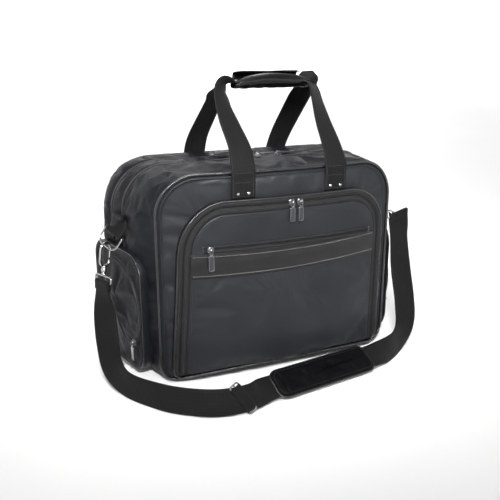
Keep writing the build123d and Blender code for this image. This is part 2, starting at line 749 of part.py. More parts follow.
left_ring = RING_PLACES["left"]
right_ring = RING_PLACES["right"]
STRAP_LEFT = [
    (left_ring.below_eye(1), left_ring.eye_across),
    (left_ring.below_eye(14), left_ring.eye_across),
    ((-264, -4, 98), (0.7, -0.7, 0)),
    ((-267, -30, 62), (0.75, -0.65, 0.1)),
    ((-268, -62, 34), (0.6, -0.5, 0.45)),
    ((-256, -100, 20.5), (0.3, -0.1, 1)),
    ((-224, -150, 19.6), LEAN_BACK),
    ((-190, -182, 19.6), LEAN_BACK),
    ((-150, -203, 19.6), LEAN_BACK),
    ((-106, -206, 20), LEAN_BACK),
    (pad_point(-PAD_LENGTH / 2 - 4), PAD_LEAN),
    (pad_point(-2), PAD_LEAN),
]
STRAP_RIGHT = [
    (pad_point(2), PAD_LEAN),
    (pad_point(PAD_LENGTH / 2 + 4), PAD_LEAN),
    ((168, -150, 19), (-0.1, 0.4, 1)),
    ((200, -132, 23), (-0.2, 0.3, 1)),
    ((226, -112, 42), (-0.7, 0.3, 0.6)),
    ((233, -98, 76), (-0.95, 0.15, 0.1)),
    ((231, -84, 130), (-0.95, 0.1, 0)),
    ((232, -72, 180), (-0.95, -0.1, -0.1)),
    (right_ring.below_eye(2.4) + Vector(0, 0, -1), right_ring.eye_across * -1),
]
save(webbing(STRAP_LEFT), "shoulder_strap_left")
save(webbing(STRAP_RIGHT), "shoulder_strap_right")


def leaning_plane(origin, run, lean):
    """Plane of the leaning strap: x along it, y up its width, z towards the front."""
    return Plane(origin=origin, x_dir=run, z_dir=run.cross(square_to(Vector(lean), run)))


pad_plane = leaning_plane(PAD_MIDDLE, PAD_RUN, PAD_LEAN)
with BuildPart(pad_plane) as shoulder_pad:
    with BuildSketch(pad_plane):
        RectangleRounded(PAD_LENGTH, PAD_WIDE, 12)
    extrude(amount=PAD_THICK / 2, both=True)
    Box(PAD_LENGTH + 20, WEBBING + 2, WEBBING_THICK + 1.2, mode=Mode.SUBTRACT)
save(shoulder_pad.part, "shoulder_pad")

ADJUSTER_WIDE = 47
ADJUSTER_LONG = 20
ADJUSTER_THICK = 2.4
adjuster_plane = leaning_plane(Vector(-118, -205.6, 21), Vector(1, -0.02, 0.01).normalized(), LEAN_BACK)
with BuildPart() as strap_adjuster:
    with BuildSketch(adjuster_plane.offset(WEBBING_THICK + GAP)):
        RectangleRounded(ADJUSTER_LONG, ADJUSTER_WIDE, 2)
        with Locations((-4.5, 0), (4.5, 0)):
            Rectangle(4.6, WEBBING + 2, mode=Mode.SUBTRACT)
    extrude(amount=ADJUSTER_THICK)
save(strap_adjuster.part, "strap_adjuster")
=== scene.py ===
from math import cos, pi, radians, sin

import bmesh
import bpy
import numpy as np
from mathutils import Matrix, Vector, noise


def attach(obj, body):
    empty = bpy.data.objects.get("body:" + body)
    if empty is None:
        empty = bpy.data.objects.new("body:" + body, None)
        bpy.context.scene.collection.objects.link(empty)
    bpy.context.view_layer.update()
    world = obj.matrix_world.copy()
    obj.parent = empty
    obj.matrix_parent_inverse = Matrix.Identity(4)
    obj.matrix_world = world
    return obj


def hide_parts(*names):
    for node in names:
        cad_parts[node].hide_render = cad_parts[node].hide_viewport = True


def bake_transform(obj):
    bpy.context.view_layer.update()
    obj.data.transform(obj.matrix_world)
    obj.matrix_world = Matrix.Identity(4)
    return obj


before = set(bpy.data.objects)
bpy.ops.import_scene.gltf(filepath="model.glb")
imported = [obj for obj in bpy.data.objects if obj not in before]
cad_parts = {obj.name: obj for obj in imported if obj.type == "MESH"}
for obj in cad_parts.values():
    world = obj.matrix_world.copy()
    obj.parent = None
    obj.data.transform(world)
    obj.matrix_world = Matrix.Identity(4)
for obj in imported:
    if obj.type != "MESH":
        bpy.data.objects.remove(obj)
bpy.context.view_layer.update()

# Shapes are in millimetres in the row frame and become metres in new_mesh(). The camera, the lights
# and the ends of the blends are in metres.
MM = 0.001

# ---- camera -------------------------------------------------------------------------
AZIMUTH = radians(24)
PITCH = radians(17)
camera_data = bpy.data.cameras.new("camera")
camera_data.sensor_width = 36
camera_data.lens = 47.93
camera_data.dof.use_dof = False
camera = bpy.data.objects.new("camera", camera_data)
camera.location = (-0.4476, -0.9712, 0.4933)
camera.rotation_euler = (pi / 2 - PITCH, 0, -AZIMUTH)
bpy.context.scene.collection.objects.link(camera)
bpy.context.scene.camera = camera


# ---- shape of the bag ---------------------------------------------------------------
BODY_HEIGHT = 321
FRONT_HALF = 199
FRONT_Y = -79
BACK_Y = 100
TOP_RADIUS = 62
FOOT_RADIUS = 30
BOW_RADIUS = 953.381
BOW_Y = BOW_RADIUS - 100
MAIN_ZIP_Y = 12
REAR_ZIP_Y = 48
FINE = 1.6  # fineness of the outlines of the large panels


def half_width(y):
    return float(np.interp(y, (FRONT_Y, MAIN_ZIP_Y, REAR_ZIP_Y, BACK_Y), (FRONT_HALF, 224, 232, 231)))


def corner_radius(y):
    return TOP_RADIUS + 16 * (y - FRONT_Y) / (BACK_Y - FRONT_Y)


def rounded(half, low, high, top_radius, foot_radius, centre=0.0, fine=1.0):
    """Closed outline of a rounded rectangle as rows of (x, z), from its bottom middle to the right.

    Every outline of the same fineness has the same number of points, so that they can be joined."""
    reach = min(half, (high - low) / 2)
    top = max(min(top_radius, reach), 0.0)
    foot = max(min(foot_radius, reach), 0.0)
    n_flat, n_foot, n_side, n_top = (int(n * fine) for n in (24, 8, 32, 16))
    turn = np.linspace(-pi / 2, 0, n_foot + 1)[1:]
    bend = np.linspace(0, pi / 2, n_top + 1)[1:]
    xs = [
        np.linspace(0, half - foot, n_flat + 1),
        half - foot + foot * np.cos(turn),
        np.full(n_side, half),
        half - top + top * np.cos(bend),
        np.linspace(half - top, 0, n_flat + 1)[1:],
    ]
    zs = [
        np.full(n_flat + 1, low),
        low + foot + foot * np.sin(turn),
        np.linspace(low + foot, high - top, n_side + 1)[1:],
        high - top + top * np.sin(bend),
        np.full(n_flat, high),
    ]
    right = np.column_stack([np.concatenate(xs), np.concatenate(zs)])
    left = right[::-1][1:] * (-1, 1)
    return np.vstack([right, left]) + (centre, 0)


def body_outline(y, inset=0.0):
    half, radius = half_width(y), corner_radius(y)
    return rounded(half - inset, inset, BODY_HEIGHT - inset, radius - inset, FOOT_RADIUS - inset, fine=FINE)


def bow_y(x, out=0.0):
    return BOW_Y - np.sqrt((BOW_RADIUS + out) ** 2 - np.asarray(x) ** 2)


def bow_normal(points):
    """Outward direction of the bowed front at each point."""
    s = points[:, 0] / BOW_RADIUS
    return np.column_stack([s, -np.sqrt(1 - s * s), 0 * s])


FOOT_LIFT = 12


def on_bow(flat, out):
    """Rows of (x, z) laid on the bowed front, a distance out; its foot is drawn up in the middle."""
    low = np.clip(1 - flat[:, 1] / 75, 0, 1) ** 2
    lift = FOOT_LIFT * np.clip(1 - (flat[:, 0] / 190) ** 2, 0, 1) * low
    return np.column_stack([flat[:, 0], bow_y(flat[:, 0], out), flat[:, 1] + lift])


SIDE_LEAN = radians(12)
POCKET_Y = 18


def side_axes(side):
    """Middle of a side pocket's foot, and its outward and forward directions."""
    outward = np.array([side * cos(SIDE_LEAN), -sin(SIDE_LEAN), 0])
    forward = np.array([sin(SIDE_LEAN), side * cos(SIDE_LEAN), 0])
    return np.array([side * 224.875, POCKET_Y, 0]), outward, forward


def on_side(side, flat, out):
    """Rows of (along, height) laid on a side pocket's plane, a distance out."""
    foot, outward, forward = side_axes(side)
    laid = foot + np.outer(flat[:, 0], forward) + np.outer(flat[:, 1], (0, 0, 1))
    return laid + outward * np.reshape(out, (-1, 1))


# ---- meshes -------------------------------------------------------------------------
def unit(rows):
    rows = np.asarray(rows, float)
    return rows / np.maximum(np.linalg.norm(rows, axis=-1, keepdims=True), 1e-9)


def new_mesh(name, points, faces, uv=None):
    """Smooth-shaded mesh from points in millimetres; uv has a row for each point, also in millimetres."""
    mesh = bpy.data.meshes.new(name)
    mesh.from_pydata((np.asarray(points) * MM).tolist(), [], faces)
    mesh.update()
    if uv is not None:
        layer = mesh.uv_layers.new(name="cloth")
        index = np.zeros(len(mesh.loops), np.int32)
        mesh.loops.foreach_get("vertex_index", index)
        layer.data.foreach_set("uv", (np.asarray(uv)[index] * MM).astype(np.float32).ravel())
    mesh.polygons.foreach_set("use_smooth", [True] * len(mesh.polygons))
    obj = bpy.data.objects.new(name, mesh)
    bpy.context.scene.collection.objects.link(obj)
    return obj


def points_of(obj):
    return np.array([v.co for v in obj.data.vertices]) / MM


def move_points(obj, points):
    obj.data.vertices.foreach_set("co", (points * MM).astype(np.float32).ravel())


def weld(obj, dissolve=False, outward=False):
    """Merge the points that lie together, where a ring has shrunk to a line."""
    edit = bmesh.new()
    edit.from_mesh(obj.data)
    bmesh.ops.remove_doubles(edit, verts=edit.verts, dist=0.00002)
    if dissolve:
        bmesh.ops.dissolve_degenerate(edit, edges=edit.edges, dist=0.00001)
    if outward:
        bmesh.ops.recalc_face_normals(edit, faces=edit.faces)
    edit.to_mesh(obj.data)
    edit.free()


def along(rows):
    """Distance along a line of points."""
    return np.concatenate([[0], np.cumsum(np.linalg.norm(np.diff(rows, axis=0), axis=1))])


def at_distance(at, s, rows):
    """Point or direction of a line at a distance along it."""
    return np.array([np.interp(at, s, rows[:, j]) for j in range(3)])


def grid(name, rows, uv=None, ring=False, caps=False):
    """Quads over rows of points; ring joins the last point of each row to its first, caps close the ends."""
    rows = np.asarray(rows, float)
    n, m = rows.shape[:2]
    index = np.arange(n * m).reshape(n, m)
    if ring:
        index = np.column_stack([index, index[:, 0]])
    a, b, c, d = index[:-1, :-1], index[:-1, 1:], index[1:, 1:], index[1:, :-1]
    faces = np.stack([a, b, c, d], axis=-1).reshape(-1, 4).tolist()
    if caps:
        faces += [index[0, :m][::-1].tolist(), index[-1, :m].tolist()]
    if uv is None:
        u = along(rows[:, m // 2])
        v = along(rows[n // 2])
        uv = np.stack(np.meshgrid(v, u), axis=-1)
    return new_mesh(name, rows.reshape(-1, 3), faces, np.asarray(uv).reshape(-1, 2))


def sweep(name, centre, across, normal, profile, caps=True):
    """Closed profile of (across, out) pairs carried along a line."""
    profile = np.asarray(profile, float)
    across, normal = (np.broadcast_to(axis, centre.shape) for axis in (across, normal))
    rows = centre[:, None] + across[:, None] * profile[None, :, :1] + normal[:, None] * profile[None, :, 1:]
    return grid(name, rows, ring=True, caps=caps)


def circle(radius, n=10):
    t = np.linspace(0, 2 * pi, n, endpoint=False)
    return np.column_stack([radius * np.cos(t), radius * np.sin(t)])


def flat_profile(width, thick, n=12):
    """Profile of a flat strap with rounded edges."""
    t = np.linspace(-1, 1, n)
    wide, high = t * width / 2, thick / 2 * (1 - 0.75 * np.abs(t) ** 14)
    return np.vstack([np.column_stack([wide, high]), np.column_stack([wide[::-1], -high[::-1]])])


def smooth_line(points, step, extra=()):
    """Points carried by a smooth curve at an even step, with extra columns carried along with them."""
    points = np.asarray(points, float)
    full = np.hstack([points, *[np.asarray(e, float) for e in extra]])
    padded = np.vstack([2 * full[0] - full[1], full, 2 * full[-1] - full[-2]])
    dense = []
    for i in range(1, len(padded) - 2):
        p0, p1, p2, p3 = padded[i - 1 : i + 3]
        t = np.linspace(0, 1, 24, endpoint=False)[:, None]
        square = 2 * p0 - 5 * p1 + 4 * p2 - p3
        cube = 3 * p1 - p0 - 3 * p2 + p3
        dense.append(0.5 * (2 * p1 + (p2 - p0) * t + square * t**2 + cube * t**3))
    dense = np.vstack([*dense, full[-1:]])
    s = along(dense[:, :3])
    at = np.linspace(0, s[-1], max(2, int(s[-1] / step) + 1))
    return np.column_stack([np.interp(at, s, dense[:, k]) for k in range(dense.shape[1])])


def frames(line, across):
    """Directions along a line, across it and out of it, square to each other."""
    run = unit(np.gradient(line, axis=0))
    across = unit(across - run * (across * run).sum(1, keepdims=True))
    return run, across, np.cross(across, run)


def joined(name, objects):
    """One object out of several; they keep their own materials."""
    bpy.ops.object.select_all(action="DESELECT")
    for o in objects:
        o.select_set(True)
    bpy.context.view_layer.objects.active = objects[0]
    bpy.ops.object.join()
    objects[0].name = name
    objects[0].data.name = name
    return objects[0]


def coil(name, centre, across, normal):
    """Zip coil: two interlocked rows of teeth, each a small tapered box."""
    pitch = 2.1
    corners = np.array([(x, y, z) for x in (-1, 1) for y in (-1, 1) for z in (-1, 1)], float)
    taper = np.where(corners[:, 2:] > 0, 0.72, 1.0) * np.array([1, 1, 0]) + np.array([0, 0, 1])
    tooth = corners * (0.42, 1.15, 0.75) * taper
    quads = [(0, 1, 3, 2), (4, 6, 7, 5), (0, 4, 5, 1), (2, 3, 7, 6), (0, 2, 6, 4), (1, 5, 7, 3)]
    s = along(centre)
    points, faces = [], []
    for k, at in enumerate(np.arange(pitch, s[-1] - pitch, pitch / 2)):
        w, n = unit(at_distance(at, s, across)), unit(at_distance(at, s, normal))
        middle = at_distance(at, s, centre) + w * 0.7 * (1 if k % 2 else -1)
        points.append(middle + tooth @ np.array([np.cross(n, w), w, n]))
        faces += [tuple(8 * k + i for i in quad) for quad in quads]
    teeth = new_mesh(name, np.vstack(points), faces)
    teeth.data.polygons.foreach_set("use_smooth", [False] * len(faces))
    return teeth


# ---- cloth --------------------------------------------------------------------------
SETTLE_FRAMES = 22


def ruffle(points, size, height, seed):
    """Smooth uneven height for each point, to start the fabric's folds."""
    return np.array([noise.noise(Vector(p / size) + Vector((seed, 0, 0))) for p in points]) * height


def settle(obj, fixed, grow, pressure, cap):
    """Let fabric cut a little large buckle between its sewn edges; fixed is 1 at the edges and 0 inside.

    No point moves further than the cap."""
    group = obj.vertex_groups.new(name="sewn")
    for i in np.nonzero(fixed > 0)[0]:
        group.add([int(i)], float(fixed[i]), "REPLACE")
    before = np.array([v.co for v in obj.data.vertices])
    cloth = obj.modifiers.new("cloth", "CLOTH")
    s = cloth.settings
    s.quality = 6
    s.mass = 0.25
    s.tension_stiffness = s.compression_stiffness = 22
    s.shear_stiffness = 8
    s.bending_stiffness = 0.6
    s.vertex_group_mass = "sewn"
    s.shrink_min = -grow
    s.use_pressure = True
    s.uniform_pressure_force = pressure
    s.effector_weights.gravity = 0
    cloth.collision_settings.use_collision = False
    cloth.point_cache.frame_start = 1
    cloth.point_cache.frame_end = SETTLE_FRAMES
    scene = bpy.context.scene
    for f in range(1, SETTLE_FRAMES + 1):
        scene.frame_set(f)
    shown = obj.evaluated_get(bpy.context.evaluated_depsgraph_get())
    after = np.array([v.co for v in shown.data.vertices])
    obj.modifiers.remove(cloth)
    obj.vertex_groups.remove(group)
    scene.frame_set(1)
    move = after - before
    far = np.linalg.norm(move, axis=1, keepdims=True)
    move *= np.minimum(1, cap * MM / np.maximum(far, 1e-9))
    obj.data.vertices.foreach_set("co", (before + move).astype(np.float32).ravel())
    obj.data.update()


class Finish:
    """Builds one procedural material; weave is drawn in UV metres, grain and mottling in space."""

    def __init__(self, name, colour, rough, metal=0.0, sheen=0.0, coat=0.0, specular=0.5):
        self.material = bpy.data.materials.new(name)
        self.material.use_nodes = True
        self.nodes = self.material.node_tree.nodes
        self.links = self.material.node_tree.links
        self.shader = self.nodes["Principled BSDF"]
        self.colour = colour
        self.rough = rough
        sockets = {
            "Base Color": (*colour, 1),
            "Roughness": rough,
            "Metallic": metal,
            "Sheen Weight": sheen,
            "Sheen Roughness": 0.45,
            "Coat Weight": coat,
            "Coat Roughness": 0.3,
            "Specular IOR Level": specular,
        }
        for socket, value in sockets.items():
            self.put(self.shader, socket, value)
        self.height = None
        self.space = self.nodes.new("ShaderNodeTexCoord").outputs["Object"]

    @staticmethod
    def put(node, socket, value):
        node.inputs[socket].default_value = value

    def math(self, operation, a, b):
        node = self.nodes.new("ShaderNodeMath")
        node.operation = operation
        for k, value in enumerate((a, b)):
            if isinstance(value, (int, float)):
                node.inputs[k].default_value = value
            else:
                self.links.new(value, node.inputs[k])
        return node.outputs[0]

    def raised(self, value, share):
        """Add a share of the value to the height that the bump is made from."""
        value = self.math("MULTIPLY", value, share)
        self.height = value if self.height is None else self.math("ADD", self.height, value)
        return self

    def noise(self, scale):
        node = self.nodes.new("ShaderNodeTexNoise")
        self.put(node, "Scale", scale)
        self.put(node, "Detail", 3.0)
        self.links.new(self.space, node.inputs["Vector"])
        return node.outputs["Fac"]

    def wave(self, pitch, direction, distortion):
        """Even ribs of that pitch in metres, across the cloth's own U or V."""
        uv = self.nodes.new("ShaderNodeUVMap")
        uv.uv_map = "cloth"
        node = self.nodes.new("ShaderNodeTexWave")
        node.bands_direction = direction
        self.put(node, "Scale", 0.31416 / pitch)
        self.put(node, "Distortion", distortion)
        self.links.new(uv.outputs["UV"], node.inputs["Vector"])
        return node.outputs["Fac"]

    def spread(self, value, low, high):
        """The value, from 0 to 1, carried to a range."""
        node = self.nodes.new("ShaderNodeMapRange")
        self.links.new(value, node.inputs["Value"])
        self.put(node, "To Min", low)
        self.put(node, "To Max", high)
        return node.outputs["Result"]

    def vary(self, scale, amount, rough=0.0):
        """Vary the colour, and the roughness if asked, by noise of that scale."""
        value = self.noise(scale)
        mix = self.nodes.new("ShaderNodeMix")
        mix.data_type = "RGBA"
        self.links.new(value, mix.inputs["Factor"])
        mix.inputs[6].default_value = (*[c * (1 - amount) for c in self.colour], 1)
        mix.inputs[7].default_value = (*[c * (1 + amount) for c in self.colour], 1)
        self.links.new(mix.outputs[2], self.shader.inputs["Base Color"])
        if rough:
            gloss = self.spread(value, self.rough - rough, self.rough + rough)
            self.links.new(gloss, self.shader.inputs["Roughness"])
        return self

    def weave(self, pitch, share):
        over = self.wave(pitch, "X", 0.6)
        under = self.wave(pitch * 1.1, "Y", 0.6)
        return self.raised(self.math("MULTIPLY", over, under), share)

    def ribs(self, pitch, direction, share):
        return self.raised(self.wave(pitch, direction, 0.4), share)

    def grain(self, scale, share):
        node = self.nodes.new("ShaderNodeTexVoronoi")
        node.feature = "SMOOTH_F1"
        self.put(node, "Scale", scale)
        self.links.new(self.space, node.inputs["Vector"])
        return self.raised(node.outputs["Distance"], share)

    def rumple(self, scale, share):
        return self.raised(self.noise(scale), share)

    def done(self, strength, distance):
        bump = self.nodes.new("ShaderNodeBump")
        self.put(bump, "Strength", strength)
        self.put(bump, "Distance", distance)
        self.links.new(self.height, bump.inputs["Height"])
        self.links.new(bump.outputs["Normal"], self.shader.inputs["Normal"])
        return self.material


# Colour, roughness and gloss, then what varies them, what the bump is made from and its strength.
m = Finish("body_nylon", (0.0112, 0.012, 0.014), 0.36, sheen=0.01, specular=0.21)
NYLON = m.vary(12, 0.4, rough=0.1).weave(0.0009, 0.8).rumple(220, 0.35).done(0.35, 0.0004)
# The body's own nylon with its colour painted darker: painted shade on the top, the sides, the side pockets
# and the organiser's wall.
m = Finish("gusset_nylon", (0.0058, 0.0063, 0.0078), 0.4, specular=0.1)
SHADED_GUSSET = m.vary(30, 0.2, rough=0.05).weave(0.0009, 0.8).rumple(150, 0.5).done(0.4, 0.0005)
m = Finish("piping", (0.005, 0.0053, 0.0062), 0.27, specular=0.65)
PIPING = m.vary(60, 0.25).ribs(0.0011, "Y", 0.6).rumple(400, 0.4).done(0.35, 0.0004)
m = Finish("lining", (0.02, 0.021, 0.023), 0.7, sheen=0.1)
LINING = m.vary(40, 0.2).rumple(900, 0.6).done(0.3, 0.0003)
m = Finish("zip_tape", (0.009, 0.009, 0.0092), 0.66, sheen=0.02, specular=0.18)
TAPE = m.vary(90, 0.3).ribs(0.0008, "Y", 0.7).rumple(500, 0.3).done(0.4, 0.0004)
m = Finish("zip_coil", (0.007, 0.007, 0.0075), 0.33, specular=0.6)
COIL = m.vary(300, 0.3, rough=0.08).rumple(900, 0.5).done(0.2, 0.0002)
m = Finish("webbing", (0.0047, 0.0045, 0.0047), 0.62, sheen=0.015, specular=0.12).vary(70, 0.3, rough=0.06)
WEBBING = m.ribs(0.0021, "Y", 0.75).ribs(0.0052, "X", 0.5).rumple(700, 0.3).done(0.55, 0.0006)
m = Finish("trim_band", (0.0056, 0.0054, 0.0054), 0.31, coat=0.05, specular=0.4)
TRIM = m.vary(45, 0.25, rough=0.07).grain(900, 0.55).rumple(120, 0.5).done(0.35, 0.0004)
m = Finish("grip_leather", (0.002, 0.002, 0.0022), 0.24, coat=0.08, specular=0.28)
LEATHER = m.vary(55, 0.3, rough=0.08).grain(900, 0.3).rumple(110, 0.6).done(0.2, 0.0003)
m = Finish("pad_fabric", (0.0018, 0.0019, 0.0023), 0.5, sheen=0.004, specular=0.05)
PAD = m.vary(50, 0.25, rough=0.06).weave(0.0011, 0.8).rumple(160, 0.5).done(0.4, 0.0005)
m = Finish("gunmetal", (0.2, 0.2, 0.21), 0.3, metal=1.0)
GUNMETAL = m.vary(160, 0.25, rough=0.09).rumple(700, 0.5).done(0.08, 0.0002)
m = Finish("nickel", (0.44, 0.44, 0.43), 0.17, metal=1.0)
NICKEL = m.vary(140, 0.14, rough=0.08).rumple(500, 0.5).done(0.06, 0.0002)
m = Finish("plate_infill", (0.018, 0.018, 0.019), 0.45)
INFILL = m.vary(400, 0.3, rough=0.06).grain(1400, 0.5).done(0.3, 0.0002)
m = Finish("thread", (0.012, 0.012, 0.013), 0.55, sheen=0.05)
THREAD = m.vary(500, 0.3).rumple(1500, 0.5).done(0.3, 0.0002)
m = Finish("trim_thread", (0.2, 0.185, 0.17), 0.6, sheen=0.3)
LIGHT_THREAD = m.vary(500, 0.2).rumple(1500, 0.5).done(0.3, 0.0002)
m = Finish("base_board", (0.03, 0.03, 0.03), 0.6)
BOARD = m.vary(80, 0.2).rumple(600, 0.5).done(0.2, 0.0003)
m = Finish("floor", (0.93, 0.93, 0.925), 0.75)
FLOOR = m.vary(3, 0.012).rumple(200, 0.2).done(0.03, 0.0002)


def dress(obj, material, body="bag", replaces=(), ride=True):
    """Give a piece its material, the body that it rides on and the CAD nodes that it stands for."""
    obj.data.materials.clear()
    obj.data.materials.append(material)
    if replaces:
        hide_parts(*([replaces] if isinstance(replaces, str) else replaces))
    if ride:
        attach(obj, body)
    return obj


def sew(name, line, normal, body, cloth, pitch=3.2, length=2.2, radius=0.33, thread=THREAD):
    """Row of separate thread stitches lying along a line on a cloth."""
    normal = np.broadcast_to(normal, line.shape)
    s = along(line)
    points, faces = [], []
    share = np.array([-0.5, -0.32, 0.32, 0.5])
    wide = np.array([0.35, 1, 1, 0.35])
    for at in np.arange(pitch, s[-1] - pitch / 2, pitch):
        c = at_distance(at, s, line)
        run = unit(at_distance(at + 0.5, s, line) - c)
        n = unit(at_distance(at, s, normal))
        w = np.cross(run, n)
        base = len(points)
        for k in range(4):
            for t in np.linspace(0, 2 * pi, 6, endpoint=False):
                around = w * cos(t) + n * sin(t) * 0.8
                points.append(c + run * share[k] * length + around * radius * wide[k])
        for k in range(3):
            for j in range(6):
                a = base + 6 * k + j
                b = base + 6 * k + (j + 1) % 6
                faces.append((a, b, b + 6, a + 6))
        faces.append(tuple(base + j for j in range(5, -1, -1)))
        faces.append(tuple(base + 18 + j for j in range(6)))
    dress(new_mesh(name, points, faces), thread, body)


# ---- body: front and back panels ----------------------------------------------------
def front_outline(inset):
    high = BODY_HEIGHT - inset
    return rounded(FRONT_HALF - inset, inset, high, TOP_RADIUS - inset, FOOT_RADIUS - inset, fine=FINE)


def ridged(inset, ridges):
    """Height of narrow rounded seam ridges at given insets: (inset, height, half width)."""
    return sum(h * max(0.0, 1 - ((inset - at) / w) ** 2) for at, h, w in ridges)


PANEL_INSETS = (2.2, 3.4, 4.4, 5.2, 6, 6.8, 7.6, 8.6, 10.5, 13, 16, 20, 24, *range(29, 160, 6), 160.5)
SEAM_RIDGE = [(7.2, 2.3, 1.9), (4.4, -0.8, 1.2)]


def panel(name, outline, insets, height, place):
    """Panel made of rings from its edge inwards to the line down its middle, its UV laid flat."""
    flats = [outline(i) for i in insets]
    rows = [place(flat, height(i, flat)) for i, flat in zip(insets, flats)]
    obj = grid(name, np.array(rows), uv=np.array(flats))
    weld(obj, dissolve=True)
    obj.data.polygons.foreach_set("use_smooth", [True] * len(obj.data.polygons))
    return obj


def inset_in(flat, half, low, high, top_radius, foot_radius, centre=0.0):
    """How far points (x, z) lie inside a rounded rectangle."""
    x = np.abs(flat[:, 0] - centre)
    z = flat[:, 1]
    gap = np.minimum(half - x, np.minimum(z - low, high - z))
    for edge, radius, upper in ((high, top_radius, True), (low, foot_radius, False)):
        cz = edge - radius if upper else edge + radius
        over = (z > cz) if upper else (z < cz)
        corner = (x > half - radius) & over
        gap = np.where(corner, radius - np.hypot(x - (half - radius), z - cz), gap)
    return gap


def mid_height(flat):
    """0 at the panel's foot and top, 1 half way up."""
    return np.sin(np.clip(flat[:, 1] / BODY_HEIGHT, 0, 1) * pi)


def front_height(inset, flat):
    return ridged(inset, SEAM_RIDGE) - 1.0 + 2.2 * min(1.0, inset / 30) * mid_height(flat)


def back_height(inset, flat):
    return ridged(inset, SEAM_RIDGE) - 1.0 + 5.5 * min(1.0, inset / 60) * mid_height(flat) ** 0.7


def at_depth(y):
    """Placement of a flat outline at a depth; out is towards the back."""
    return lambda flat, out: np.column_stack([flat[:, 0], np.full(len(flat), y) + out, flat[:, 1]])


def back_outline(inset):
    return body_outline(BACK_Y, inset)


def bead(name, flat, out, radius, place, body="bag", replaces=()):
    """Round piping along an outline, at a distance out of its surface."""
    rows = place(flat, out)
    run = unit(np.gradient(rows, axis=0))
    run[0] = run[-1] = unit(run[0] + run[-1])
    normal = unit(place(flat, out + 1) - place(flat, out))
    piece = sweep(name, rows, np.cross(normal, run), normal, circle(radius, 10), caps=False)
    dress(piece, PIPING, body, replaces=replaces)


front = panel("front_panel_cloth", front_outline, PANEL_INSETS, front_height, on_bow)
co = points_of(front)
gap = inset_in(co[:, [0, 2]], FRONT_HALF, 0, BODY_HEIGHT, TOP_RADIUS, FOOT_RADIUS)
co[:, 1] -= ruffle(co, 46, 1.3, 3.0) * np.clip((gap - 8) / 20, 0, 1)
move_points(front, co)
settle(front, ((gap < 9) | (gap > 55)).astype(float), grow=0.01, pressure=0.4, cap=5)
dress(front, NYLON, replaces="front_panel")
bead("front_piping_bead", front_outline(1.2), 0.1, 2.4, on_bow, replaces="front_piping")

back = panel("back_panel_cloth", back_outline, PANEL_INSETS, back_height, at_depth(BACK_Y))
co = points_of(back)
gap = inset_in(co[:, [0, 2]], 225, 0, BODY_HEIGHT, corner_radius(BACK_Y), FOOT_RADIUS)
co[:, 1] += ruffle(co, 70, 1.6, 8.0) * np.clip((gap - 8) / 20, 0, 1)
move_points(back, co)
settle(back, (gap < 9).astype(float), grow=0.008, pressure=0.3, cap=5)
dress(back, NYLON, replaces="back_panel")
bead("back_piping_bead", back_outline(1.2), 0.1, 2.4, at_depth(BACK_Y), replaces="back_piping")


# ---- body: gussets and the two main zips --------------------------------------------
def hoop(name, low, high, steps, swell, seed, grow, cap):
    """Gusset in even steps between the rows of two seams; swell is its outward bulge."""
    base = np.array([low + (high - low) * t for t in np.linspace(0, 1, steps)])
    out = base - (0, 0, BODY_HEIGHT / 2)
    out[..., 1] = 0
    flat = np.where(np.abs(out[..., :1]) > 150, np.sign(out[..., :1]), 0) * (1, 0, 0)
    out = unit(flat + np.where(out[..., 2:] > 95, 1, 0) * (0, 0, 1) + unit(out) * 0.05)
    share = np.sin(np.linspace(0, pi, steps))[:, None]
    above = np.clip((base[..., 2] - 30) / 60, 0, 1)
    rise = share * swell * np.where(np.abs(base[..., 0]) > 160, above, 0.35)
    rise = rise + share * ruffle(base.reshape(-1, 3), 34, 2.6, seed).reshape(base.shape[:2]) * above
    # The right side stays flat where the swinging swivel comes close to it.
    apart = np.hypot(base[..., 1] + 50, base[..., 2] - 222)
    calm = np.where(base[..., 0] > 150, np.exp(-((apart / 32) ** 2)), 0)
    rows = base + out * (rise * (1 - 0.85 * calm))[..., None]
    obj = grid(name + "_cloth", rows)
    fixed = (calm > 0.5).astype(float)
    fixed[[0, -1]] = 1
    fixed[:, [0, -1]] = 1
    fixed[rows[..., 2] < 4] = 1
    settle(obj, fixed.ravel(), grow=grow, pressure=0.5, cap=cap)
    dress(obj, SHADED_GUSSET, replaces=name)


def body_row(y, inset=0.3):
    return at_depth(y)(body_outline(y, inset), 0)


hoop("front_gusset", on_bow(front_outline(0.4), -1.6), body_row(7.4), 24, 3.0, 1.0, 0.02, 7)
hoop("middle_gusset", body_row(16.6), body_row(43.4), 10, 2.0, 2.0, 0.015, 5)
hoop("rear_gusset", body_row(52.6), body_row(98.6), 15, 7.0, 5.0, 0.02, 6)

ZIP_THREAD = (3.2, 2.1, 0.28)
TAPE_PROFILE = [
    (-5.4, -1.2), (-5.4, 0.1), (-4.6, 0.6), (-2.2, 0.7), (-1.7, 0.3), (-1.2, -0.2),
    (1.2, -0.2), (1.7, 0.3), (2.2, 0.7), (4.6, 0.6), (5.4, 0.1), (5.4, -1.2),
]


def zip_line(name, centre, across, normal, body="bag"):
    """Zip tape with its coil in the middle; it stands for the CAD node of its name."""
    across, normal = (np.broadcast_to(axis, centre.shape) for axis in (across, normal))
    tape = sweep(name + "_tape", centre, across, normal, TAPE_PROFILE)
    dress(tape, TAPE, body, replaces=name)
    teeth = coil(name + "_coil", centre + normal * 0.35, across, normal)
    dress(teeth, COIL, body)
    for label, w in (("a", -3.6), ("b", 3.6)):
        row = centre + across * w + normal * 0.75
        sew(f"{name}_stitch_{label}", row, normal, body, TAPE, *ZIP_THREAD)


